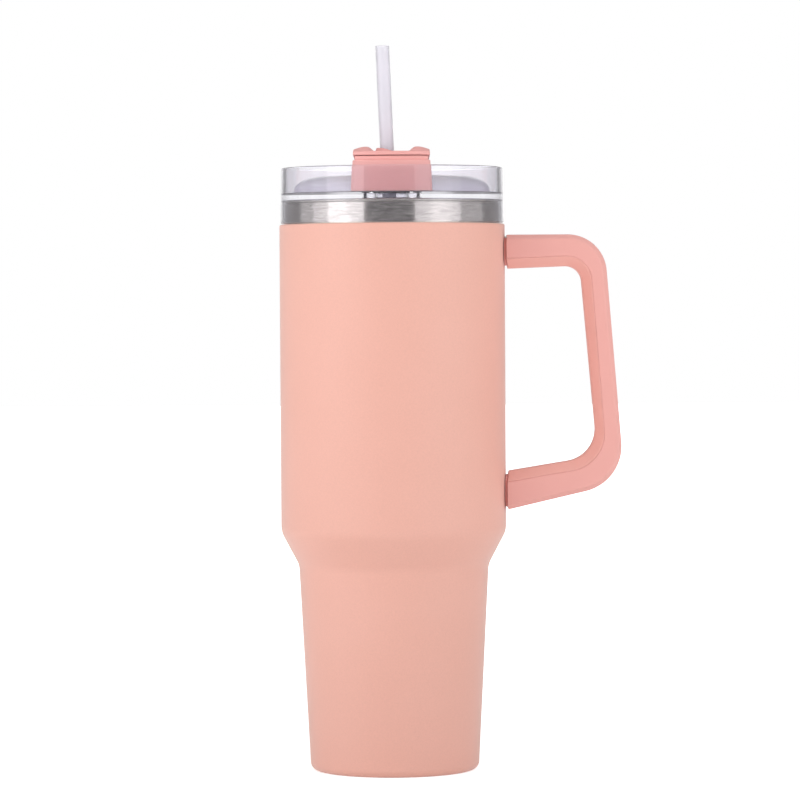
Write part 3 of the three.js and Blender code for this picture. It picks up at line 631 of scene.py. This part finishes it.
def steel_neck():
    """The bare neck that the lid's skirt slides over. It stands on the painted shell's step."""
    top = LIP_TOP - LIP_HEIGHT - GAP
    inner = NECK_RADIUS - OUTER_WALL
    outline = closed_bent([
        (NECK_RADIUS, BODY_TOP + 0.02, 0),
        (NECK_RADIUS, top, 0.15),
        (inner, top, 0.15),
        (inner, BODY_TOP - OUTER_WALL, 0),
        (NECK_RADIUS - 0.02, BODY_TOP - OUTER_WALL, 0),
    ])
    piece("steel_neck", turned(outline), NECK_STEEL, "vessel", "brushed_steel", "outer_shell")


def liner_corners():
    """The liner's outside, from the middle of its floor up to the lip."""
    moved = moved_in(WALL_CORNERS, BODY_RADIUS - LINER_RADIUS)
    foot, waist, shoulder = moved[1:4]
    slope = (waist[0] - foot[0]) / (waist[1] - foot[1])
    return [
        (0, LINER_FLOOR, 0),
        (waist[0] - slope * (waist[1] - LINER_FLOOR), LINER_FLOOR, LINER_BEND),
        waist,
        shoulder,
        (LINER_RADIUS, LIP_TOP - LIP_HEIGHT, 0),
    ]


def steel_liner():
    """The drink side of the vessel, drawn in one piece, with its rolled lip welded to the neck."""
    corners = liner_corners()
    outside = bent(corners, 12)
    inside = bent(moved_in(corners, LINER_WALL), 12)
    inside[0] = (0, LINER_FLOOR + LINER_WALL)
    inside[-1] = (inside[-1][0], LIP_TOP - LIP_HEIGHT)
    inner = inside[-1][0]
    lip = bent([
        (LINER_RADIUS, LIP_TOP - LIP_HEIGHT, 0),
        (NECK_RADIUS, LIP_TOP - LIP_HEIGHT, 0.3),
        (NECK_RADIUS, LIP_TOP, 0.38),
        (inner, LIP_TOP, 0.38),
        (inner, LIP_TOP - LIP_HEIGHT, 0),
    ], 6)
    outline = outside[:-1] + lip[:-1] + inside[::-1]
    piece("steel_liner", turned(outline), LINER_STEEL, "vessel", "brushed_steel", "inner_liner")


def foot_cap():
    """The cap pressed into the foot ring, with a shallow step and a dimple in the middle."""
    radius = cap_high.x
    top = cap_high.z
    under = bent([
        (0, 0.25, 0), (5, 0.25, 1.5), (6.5, 0, 1.5), (22, 0, 1.5), (23.5, 0.22, 1.5),
        (26, 0.22, 1.5), (27.5, 0, 1.5), (radius, 0, 0.25), (radius, top, 0.25), (0, top, 0),
    ], 5)
    piece("foot_cap", turned(under), PART_STEEL, "vessel", "brushed_steel", "base_cap")


# ---- Handle ----

HANDLE_STEPS = 18


def handle_stations():
    """Pairs of outer and inner points along the handle, the first and last of them at the wall."""
    return list(zip(bent(OUTER_CORNERS, HANDLE_STEPS), bent(INNER_CORNERS, HANDLE_STEPS)))


def handle_loops(section):
    """Loops along the handle. The section gives (depth from the inner edge, y) for a thickness."""
    loops = []
    for outer, inner in handle_stations():
        start = Vector(inner)
        across = Vector(outer) - start
        thickness = across.length
        across.normalize()
        loop = []
        for depth, y in section(thickness):
            x, z = start + across * depth
            loop.append(Vector((x, y, z)))
        loops.append(loop)
    loops[0] = on_wall(loops[1], loops[0])
    loops[-1] = on_wall(loops[-2], loops[-1])
    return loops


def on_wall(before, last):
    """Moves an end loop along the arm until each point is on the round wall's own curve."""
    moved = []
    for a, b in zip(before, last):
        x = math.sqrt(ARM_START ** 2 - b.y ** 2)
        share = (a.x - x) / (a.x - b.x)
        moved.append(a.lerp(b, share))
    return moved


def frame_section(thickness):
    """The outer half of the handle, in (depth, y), with wide bevels on its outer side."""
    corners = [
        (GRIP_DEPTH + SEAM / 2, -HANDLE_HALF, 0.45),
        (GRIP_DEPTH + SEAM / 2, HANDLE_HALF, 0.45),
        (thickness - FRAME_BEVEL, HANDLE_HALF, 1.2),
        (thickness, FRAME_FACE / 2, 1.2),
        (thickness, -FRAME_FACE / 2, 1.2),
        (thickness - FRAME_BEVEL, -HANDLE_HALF, 1.2),
    ]
    return closed_bent(corners, 5)


def grip_section(thickness):
    """The inner half. It is as deep along the whole handle, whatever the thickness."""
    edge = GRIP_DEPTH - SEAM / 2
    shoulder = edge - 0.35
    side = HANDLE_HALF - GRIP_STEP
    corners = [
        (0, -GRIP_FACE / 2, 1.6),
        (0, GRIP_FACE / 2, 1.6),
        (shoulder, side, 0.5),
        (edge, side, 0.1),
        (edge, -side, 0.1),
        (shoulder, -side, 0.5),
    ]
    return closed_bent(corners, 5)


def handle():
    piece("handle_frame_smooth", lofted(handle_loops(frame_section)), FRAME_PLASTIC, "vessel",
          "pink_plastic", "handle_frame")
    piece("handle_grip_smooth", lofted(handle_loops(grip_section)), GRIP_RUBBER_PAINTED_PALER, "vessel",
          "soft_grip", "handle_grip")


def arm_pad(side):
    """A thin rubber pad moulded to the round wall, between it and an arm of the handle."""
    low, high = box(side + "_pad")
    inner = BODY_RADIUS + GAP
    outer = inner + PAD_THICKNESS
    tuck = Vector((0, PAD_TUCK, PAD_TUCK))
    low, high = low + tuck, high - tuck
    corners = [(low.y, low.z), (high.y, low.z), (high.y, high.z), (low.y, high.z)]

    def loop(radius, shrink):
        signs = ((1, 1), (-1, 1), (-1, -1), (1, -1))
        bends = [(y + sy * shrink, z + sz * shrink, PAD_CORNER - shrink)
                 for (y, z), (sy, sz) in zip(corners, signs)]
        return [Vector((math.sqrt(radius ** 2 - y ** 2), y, z)) for y, z in closed_bent(bends, 8)]

    levels = [(inner, PAD_FACE_INSET), (inner, 0), (outer - PAD_EASE, 0),
              (outer - PAD_EASE / 3, PAD_EASE / 3), (outer, PAD_EASE), (outer, PAD_FACE_INSET)]
    loops = [loop(radius, shrink) for radius, shrink in levels]
    piece(side + "_arm_pad", lofted(loops), PAD_RUBBER_PAINTED_SHADE, "vessel", "pad_rubber", side + "_pad")


# ---- Lid ----

def clear_lid():
    """Skirt, rim, deck, plug ring and straw tube, moulded in one. The rim narrows a little upwards."""
    skirt_inner = NECK_RADIUS + SKIRT_CLEARANCE
    rim_bore = LID_RADIUS - RIM_WALL
    top_radius = LID_RADIUS - LID_DRAFT
    groove_bottom = PLUG_BOTTOM + GROOVE_RISE
    groove_top = groove_bottom + GROOVE_HEIGHT
    outline = closed_bent([
        (TUBE_BORE, TUBE_BOTTOM, 0.3),
        (TUBE_RADIUS, TUBE_BOTTOM, 0.3),
        (TUBE_RADIUS, DECK_BOTTOM, 0.5),
        (PLUG_RADIUS - PLUG_WALL, DECK_BOTTOM, 0.5),
        (PLUG_RADIUS - PLUG_WALL, PLUG_BOTTOM, 0.4),
        (PLUG_RADIUS, PLUG_BOTTOM, 0.4),
        (PLUG_RADIUS, groove_bottom, 0.2),
        (PLUG_RADIUS - GROOVE_DEPTH, groove_bottom, 0.2),
        (PLUG_RADIUS - GROOVE_DEPTH, groove_top, 0.2),
        (PLUG_RADIUS, groove_top, 0.2),
        (PLUG_RADIUS, DECK_BOTTOM, 0.4),
        (skirt_inner, DECK_BOTTOM, 0.4),
        (skirt_inner, SKIRT_BOTTOM, 0.35),
        (LID_RADIUS, SKIRT_BOTTOM, 0.5),
        (LID_RADIUS - 0.1, DECK_BOTTOM, 6),
        (top_radius, LID_TOP, RIM_EASE),
        (rim_bore - 0.1, LID_TOP, RIM_EASE),
        (rim_bore, DECK_TOP, 0.5),
        (TUBE_RADIUS, DECK_TOP, 0.5),
        (TUBE_RADIUS, TUBE_TOP, 0.3),
        (TUBE_BORE, TUBE_TOP, 0.3),
    ])
    mesh = combined(turned(outline), slot_cutter(DECK_BOTTOM, DECK_TOP, 0.0), "DIFFERENCE")
    vent = turned(flared_rod(VENT_RADIUS, DECK_BOTTOM, DECK_TOP), VENT_ROUND)
    vent.transform(Matrix.Translation((0, SLOT_REACH * MM, 0)))
    mesh = combined(mesh, vent, "DIFFERENCE")
    piece("clear_lid", mesh, CLEAR_LID, "lid", "clear_plastic", "lid_body")


def flared_rod(radius, bottom, top, flare=0.3):
    """Outline of a cutter for a hole whose two edges are eased by its flare."""
    return [
        (0, bottom - PAST),
        (radius + flare + PAST, bottom - PAST),
        (radius, bottom + flare),
        (radius, top - flare),
        (radius + flare + PAST, top + PAST),
        (0, top + PAST),
    ]


def slot_cutter(bottom, top, turn, flare=0.35):
    """Cutter for the drink opening. Its flare eases both edges."""
    wide = flare + PAST
    levels = [(bottom - PAST, wide), (bottom + flare, 0), (top - flare, 0), (top + PAST, wide)]
    return lofted([[(p.x, p.y, z) for p in slot_outline(grow, turn)] for z, grow in levels])


def gasket():
    """Silicone ring on the plug, with two thin lips that wipe the liner."""
    bed = PLUG_RADIUS - GROOVE_DEPTH + GAP
    back = bed + 1.0
    tip = gasket_high.x
    low, high = gasket_low.z, gasket_high.z
    outline = closed_bent([
        (bed, low, 0.2), (back, low, 0.5), (tip, low + 0.35, 0.2), (tip, low + 0.8, 0.2),
        (back, low + 1.0, 0.5), (back, high - 1.0, 0.5), (tip, high - 0.6, 0.2), (tip, high - 0.15, 0.2),
        (back, high, 0.5), (bed, high, 0.2),
    ])
    piece("plug_gasket", turned(outline), SILICONE, "lid", "silicone", "lid_gasket")


def straw_rod(radius, bottom, top):
    """A rod on the straw's leaning axis, between two distances along it from the straw's middle."""
    mesh = turned([(0, bottom), (radius, bottom), (radius, top), (0, top)], SMALL_ROUND)
    mesh.transform(straw_stand())
    return mesh


def straw_stand():
    """Puts a piece drawn about Z, with its middle at the origin, on the straw's axis."""
    middle = (straw_low + straw_high) / 2 * MM
    lean = Vector((0, 0, 1)).rotation_difference(straw_axis)
    return Matrix.Translation(middle) @ lean.to_matrix().to_4x4()


def straw_bush():
    """Silicone bush in the tube's lower end. Its hole follows the straw's lean."""
    flange_top = TUBE_BOTTOM - GAP
    inner = TUBE_BORE - GAP
    body = bent([
        (0, bush_low.z, 0), (bush_high.x, bush_low.z, 0.4), (bush_high.x, flange_top, 0.4),
        (inner, flange_top, 0.1), (inner, bush_high.z, 0.6), (0, bush_high.z, 0),
    ], 5)
    half = (straw_high.z - straw_low.z) / 2
    hole = straw_rod(straw_radius() + BUSH_CLEARANCE, -half, half)
    mesh = combined(turned(body, SMALL_ROUND), hole, "DIFFERENCE")
    piece("straw_bush", mesh, SILICONE, "lid", "silicone", "straw_seal")


# ---- Turning cover ----

def dome(inset, steps=20):
    """The disc's rounded edge from its flat top down to its foot, moved in by the inset."""
    flat = DISC_RADIUS - DISC_SHOULDER
    low = disc_low.z + DISC_FOOT
    points = []
    for k in range(steps + 1):
        turn = math.pi / 2 * k / steps
        points.append((flat + (DISC_SHOULDER - inset) * math.sin(turn),
                       low + (disc_high.z - low - inset) * math.cos(turn)))
    return points


def clear_disc():
    """Clear domed disc that carries the seals. Closed, its spout is a quarter turn off the drink opening."""
    foot = disc_low.z
    top = disc_high.z
    outline = (
        bent([(HUB_HOLE, top - DISC_WALL, 0), (HUB_HOLE, top, 0.3), dome(0)[0] + (0,)], 4)[:-1]
        + dome(0)
        + bent([dome(0)[-1] + (0,), (DISC_RADIUS, foot, 0.3), (DISC_RADIUS - DISC_WALL, foot, 0.3),
                dome(DISC_WALL)[-1] + (0,)], 4)[1:-1]
        + dome(DISC_WALL)[::-1]
    )
    spout = slot_cutter(top - DISC_WALL, top, -math.pi / 2)
    mesh = combined(turned(outline), spout, "DIFFERENCE")
    piece("clear_disc", mesh, CLEAR_DISC, "cover", "clear_plastic", "turn_disc")


def bar_quarter(inset):
    """A quarter of the bar's plan, from its side's middle to its end's middle, round the corner between."""
    side_steps, corner_steps, end_steps = 6, 10, 8
    half = BAR_HALF - inset
    end = BAR_END - inset
    corner = max(BAR_CORNER - inset, 0.4)
    centre = Vector((half - corner, math.sqrt((end - corner) ** 2 - (half - corner) ** 2)))
    lean = math.atan2(centre.y, centre.x)
    points = [Vector((half, centre.y * k / side_steps)) for k in range(side_steps)]
    for k in range(corner_steps + 1):
        turn = lean * k / corner_steps
        points.append(centre + corner * Vector((math.cos(turn), math.sin(turn))))
    for k in range(1, end_steps + 1):
        turn = lean + (math.pi / 2 - lean) * k / end_steps
        points.append(end * Vector((math.cos(turn), math.sin(turn))))
    return points


def bar_plan(inset, level):
    """The whole plan at a level, as four mirrored quarters."""
    quarter = bar_quarter(inset)
    right = quarter + [Vector((-p.x, p.y)) for p in quarter[-2:0:-1]]
    left = [Vector((-p.x, -p.y)) for p in right]
    return [(p.x, p.y, level) for p in right + [Vector((-quarter[0].x, 0))] + left[1:]]


def turning_bar():
    """Hollow pink block that fingers turn. A narrow step under the cap leaves a shadow line."""
    low, high = bar_low.z, bar_high.z
    step = high - BAND_HEIGHT
    band = BAR_DRAFT + BAND_INSET
    levels = [
        (0.5, low), (0.15, low + 0.15), (0, low + 0.5), (BAR_DRAFT - 0.15, step - 0.35),
        (BAR_DRAFT - 0.02, step - 0.1), (BAR_DRAFT + 0.2, step), (band, step + 0.08),
        (band, high - 0.1), (band + 0.1, high),
    ]
    block = lofted([bar_plan(inset, level) for inset, level in levels])
    under = low - PAST
    over = high + PAST
    room = turned([(0, under), (DISC_RADIUS + GAP, under), *dome(-GAP)[::-1], (0, disc_high.z + GAP)])
    mesh = combined(block, room, "DIFFERENCE")
    pocket_inset = BAR_DRAFT + BAR_WALL
    pocket = lofted([bar_plan(pocket_inset, BAR_FLOOR), bar_plan(pocket_inset, over)])
    mesh = combined(mesh, pocket, "DIFFERENCE")
    hub_low, hub_high = washer_high.z + GAP, box("retainer_ring")[0].z - GAP
    hub = turned([(0, hub_low), (HUB_RADIUS, hub_low), (HUB_RADIUS, hub_high), (0, hub_high)], SMALL_ROUND)
    mesh = combined(mesh, hub, "UNION")
    bore = turned([(0, under), (HUB_BORE, under), (HUB_BORE, over), (0, over)], SMALL_ROUND)
    mesh = combined(mesh, bore, "DIFFERENCE")
    piece("turning_bar", mesh, BAR_PLASTIC, "cover", "pink_plastic", "turn_bar")


def smooth(value):
    """Rises from 0 to 1 with a soft start and end."""
    share = min(max(value, 0.0), 1.0)
    return share * share * (3 - 2 * share)


def lever_height(x, y):
    """Height of the cap's top above its plate: two finger ridges along the bar, and the collar's mound."""
    crest_in, crest_out = RIDGE["crest"]
    inner = smooth((abs(x) - RIDGE["foot"]) / (crest_in - RIDGE["foot"]))
    outer = smooth((abs(x) - crest_out) / (BAR_HALF - crest_out + 2.0))
    ridge = inner * (RIDGE["height"] - (RIDGE["height"] - RIDGE["edge"]) * outer)
    ends = smooth((RIDGE["length"] / 2 - abs(y)) / RIDGE["slope"])
    reach = math.hypot(x, y)
    mound = 1 - smooth((reach - COLLAR["crown"]) / (COLLAR["foot"] - COLLAR["crown"]))
    fall = smooth((x - COLLAR["high"]) / (COLLAR["low"] - COLLAR["high"]))
    mound *= 1 - (1 - COLLAR["least"]) * fall
    return max(ridge * ends, COLLAR["height"] * mound)


def lever_cap():
    """The bar's cap: a plate with rounded edges, a scooped top and a hole for the straw."""
    inset = BAR_DRAFT
    half = BAR_HALF - inset
    end = BAR_END - inset
    corner = BAR_CORNER - inset
    centre = Vector((half - corner, math.sqrt((end - corner) ** 2 - (half - corner) ** 2)))
    edge_steps = [0, 0.06, 0.16, 0.3, LEVER_EASE]
    edge_band = 0.8
    across_count, along_count = 34, 74
    across = [half - s for s in edge_steps]
    across += [(half - edge_band) * (1 - k / across_count) for k in range(across_count)]
    across += [0.0]
    xs = [-x for x in across] + across[-2::-1]
    shares = [1 - s / end for s in edge_steps]
    shares += [1 - k / along_count for k in range(2, along_count)]
    shares += [0.0]
    shares = [-s for s in shares] + shares[-2::-1]

    def reach_at(x):
        if abs(x) <= centre.x * end / (end - corner):
            return math.sqrt(end ** 2 - x ** 2)
        return centre.y + math.sqrt(max(corner ** 2 - (abs(x) - centre.x) ** 2, 0))

    def edge_distance(x, y):
        if abs(x) > centre.x and abs(y) > centre.y:
            return max(corner - math.hypot(abs(x) - centre.x, abs(y) - centre.y), 0)
        return max(min(half - abs(x), end - math.hypot(x, y)), 0)

    def drop(distance):
        if distance >= LEVER_EASE:
            return 0.0
        return LEVER_EASE - math.sqrt(LEVER_EASE ** 2 - (LEVER_EASE - distance) ** 2)

    mesh = bmesh.new()
    tops, bottoms = [], []
    for x in xs:
        top_row, bottom_row = [], []
        for share in shares:
            y = share * reach_at(x)
            away = edge_distance(x, y)
            top = LEVER_TOP + lever_height(x, y) - drop(away)
            top_row.append(mesh.verts.new(Vector((x, y, top)) * MM))
            bottom_row.append(mesh.verts.new(Vector((x, y, LEVER_BOTTOM + drop(away) / 2)) * MM))
        tops.append(top_row)
        bottoms.append(bottom_row)
    rows, columns = len(xs), len(shares)
    for i in range(rows - 1):
        for j in range(columns - 1):
            mesh.faces.new((tops[i][j], tops[i + 1][j], tops[i + 1][j + 1], tops[i][j + 1]))
            mesh.faces.new((bottoms[i][j], bottoms[i][j + 1], bottoms[i + 1][j + 1], bottoms[i + 1][j]))
    rim = [(0, j) for j in range(columns)]
    rim += [(i, columns - 1) for i in range(1, rows)]
    rim += [(rows - 1, j) for j in range(columns - 2, -1, -1)]
    rim += [(i, 0) for i in range(rows - 2, 0, -1)]
    for (i, j), (m, n) in zip(rim, rim[1:] + rim[:1]):
        mesh.faces.new((tops[i][j], tops[m][n], bottoms[m][n], bottoms[i][j]))
    under = LEVER_BOTTOM - PAST
    crown = lever_high.z
    bore = turned(bent([
        (0, under, 0), (TUBE_BORE, under, 0), (TUBE_BORE, crown, 0.8),
        (TUBE_BORE + PAST, crown + 0.1, 0), (TUBE_BORE + PAST, crown + PAST, 0), (0, crown + PAST, 0),
    ], 6), SMALL_ROUND)
    mesh = combined(mesh, bore, "DIFFERENCE")
    piece("lever_cap", mesh, CAP_PLASTIC_PAINTED_DARKER, "cover", "pink_plastic", "bar_cap")


def hub_washer():
    low, high = washer_low.z, washer_high.z
    outline = closed_bent([(HUB_BORE, low, 0.3), (HUB_RADIUS, low, 0.3), (HUB_RADIUS, high, 0.3),
                           (HUB_BORE, high, 0.3)])
    piece("hub_washer", turned(outline, SMALL_ROUND), SILICONE, "cover", "silicone", "hub_seal")


def drink_pad():
    """Silicone pad that closes the drink opening, with a stud that holds it in the disc."""
    low = sip_low.z
    face = low + 2.0
    grow = 1.2  # how far the pad laps over the opening's edge
    stud_radius = 3.5
    stud_shift = 1.5  # towards the axis, clear of the disc's rounded edge
    levels = [(low, grow - 0.5), (low + 0.15, grow - 0.15), (low + 0.5, grow), (face - 0.4, grow),
              (face - 0.1, grow - 0.1), (face, grow - 0.4)]
    pad = lofted([[(p.x, p.y, z) for p in slot_outline(g)] for z, g in levels])
    stud = turned(bent([(0, low + 1, 0), (stud_radius, low + 1, 0), (stud_radius, sip_high.z, 0.4),
                        (0, sip_high.z, 0)], 5), STUD_ROUND)
    stud.transform(Matrix.Translation((0, (stud_shift - SLOT_REACH) * MM, 0)))
    # The pad's grey is painted shade for the dark under the bar.
    piece("drink_pad", combined(pad, stud, "UNION"), PAINTED_SHADE_SILICONE, "cover", "silicone", "sip_seal")


def vent_pad():
    radius = (vent_high.x - vent_low.x) / 2
    low, high = vent_low.z, vent_high.z
    middle = (vent_low + vent_high) / 2 * MM
    mesh = turned(bent([(0, low, 0), (radius, low, 0.5), (radius, high, 0.5), (0, high, 0)], 5), STUD_ROUND)
    mesh.transform(Matrix.Translation((middle.x, middle.y, 0)))
    piece("vent_pad", mesh, SILICONE, "cover", "silicone", "vent_seal")


# ---- Straw ----

STRAW_WALL = 0.7


def straw_radius():
    return (straw_high.y - straw_low.y) / 2


def drinking_straw():
    """An extruded tube, cut and flame-rounded at both ends."""
    radius = straw_radius()
    tilt = abs(straw_axis.x)
    half = (straw_high.z - straw_low.z - 2 * radius * tilt) / 2 / straw_axis.z
    bore = radius - STRAW_WALL
    outline = closed_bent([(bore, -half, 0.3), (radius, -half, 0.3), (radius, half, 0.3), (bore, half, 0.3)])
    mesh = turned(outline, SMALL_ROUND)
    mesh.transform(straw_stand())
    piece("drinking_straw", mesh, STRAW_PLASTIC, "straw", "straw_plastic", "straw")


# ---- Pieces that keep their CAD shape ----

def dress_inner_parts():
    """Gives the finishes of the real parts to those that the walls hide."""
    finishes = {
        "base_plate": PART_STEEL, "getter_strap": PART_STEEL,
        "upper_bracket": PART_STEEL, "lower_bracket": PART_STEEL,
        "upper_screw": PART_STEEL, "lower_screw": PART_STEEL,
        "liner_foil": COPPER, "vacuum_seal": GLASS_BEAD, "getter": GETTER,
        "retainer_ring": CLEAR_LID,
    }
    for name, finish in finishes.items():
        slots = frame["nodes"][name].data.materials
        slots.clear()
        slots.append(finish)


# ---- Studio ----

def floor():
    half_width = 6.0
    mesh = bmesh.new()
    bmesh.ops.create_grid(mesh, x_segments=8, y_segments=8, size=half_width)
    made = placed("floor", mesh)
    made.data.materials.append(LAMINATE)


LIGHT_AIM = 0.16  # height of the tumbler's middle, in metres
PANEL = {"distance": 1.2, "height": 0.54, "tall": 1.2}
STRIP = {"distance": 1.1, "height": 0.7, "tall": 0.9, "width": 0.5}


def softbox(name, azimuth, distance, height, width, tall, power):
    """A softbox that faces the tumbler's middle. Azimuth 0 is on the camera's side, and 90 is on +X."""
    data = bpy.data.lights.new(name, "AREA")
    data.shape = "RECTANGLE"
    data.size = width
    data.size_y = tall
    data.energy = power
    made = bpy.data.objects.new(name, data)
    made.visible_camera = False
    angle = math.radians(azimuth)
    made.location = (distance * math.sin(angle), -distance * math.cos(angle), height)
    aim = Vector((0, 0, LIGHT_AIM)) - made.location
    made.rotation_euler = aim.to_track_quat("-Z", "Y").to_euler()
    bpy.context.scene.collection.objects.link(made)


def studio_walls():
    """A white wall behind the tumbler, a pale ceiling, and a room that gets dim on the camera's side.
    Seen straight, all of it is white."""
    world = bpy.data.worlds.new("studio")
    bpy.context.scene.world = world
    world.use_nodes = True
    tree = world.node_tree
    tree.nodes.clear()
    direction = add(tree, "TexCoord").outputs["Generated"]
    parts = add(tree, "SeparateXYZ", {"Vector": direction})
    side = add(tree, "MapRange", {"Value": parts.outputs["Y"], "From Min": -0.92, "From Max": -0.6,
                                  "To Min": 0.03, "To Max": 0.24}, interpolation_type="SMOOTHSTEP")
    back = add(tree, "MapRange", {"Value": parts.outputs["Y"], "From Min": 0.88, "From Max": 0.98,
                                  "To Min": 0.0, "To Max": 1.0}, interpolation_type="SMOOTHSTEP")
    above = add(tree, "MapRange", {"Value": parts.outputs["Z"], "From Min": 0.4, "From Max": 0.8,
                                   "To Min": 0.0, "To Max": 0.6}, interpolation_type="SMOOTHSTEP")
    room = add(tree, "Math", {0: back.outputs["Result"], 1: above.outputs["Result"]}, operation="MAXIMUM")
    room = add(tree, "Math", {0: room.outputs[0], 1: side.outputs["Result"]}, operation="MAXIMUM")
    light = add(tree, "MixRGB", {"Fac": seen_straight(tree), "Color1": room.outputs[0],
                                 "Color2": from_hex("#FFFFFF")})
    background = add(tree, "Background", {"Color": light.outputs["Color"], "Strength": 1.0})
    add(tree, "OutputWorld", {"Surface": background.outputs["Background"]})


def camera():
    """A long lens a little above the tumbler's middle, on the side that shows the handle to the right."""
    data = bpy.data.cameras.new("camera")
    data.lens = 180.8
    data.sensor_width = 36
    data.clip_end = 50
    made = bpy.data.objects.new("camera", data)
    made.location = (0.0033, -1.75, 0.205)
    made.rotation_euler = (math.radians(90 - 1.44), math.radians(0.33), 0)
    bpy.context.scene.collection.objects.link(made)
    bpy.context.scene.camera = made


camera()
floor()
studio_walls()
softbox("left_wall", azimuth=-70, width=2.2, power=3.55, **PANEL)
softbox("left_softbox", azimuth=-59.5, width=1.53, power=3.0, **PANEL)
softbox("left_inner_softbox", azimuth=-49.5, width=0.99, power=2.2, **PANEL)
softbox("left_strip", azimuth=-58, power=1.6, **STRIP)
softbox("right_softbox", azimuth=67, width=2.38, power=3.05, **PANEL)
softbox("right_inner_softbox", azimuth=50, width=1.26, power=3.4, **PANEL)
softbox("right_strip", azimuth=53, power=1.4, **STRIP)
softbox("top_softbox", azimuth=20, distance=0.5, height=1.3, width=1.0, tall=1.0, power=1.25)
bpy.context.scene.view_settings.view_transform = "Standard"

painted_shell()
steel_neck()
steel_liner()
foot_cap()
handle()
arm_pad("upper")
arm_pad("lower")
clear_lid()
gasket()
straw_bush()
clear_disc()
turning_bar()
lever_cap()
hub_washer()
drink_pad()
vent_pad()
drinking_straw()
dress_inner_parts()
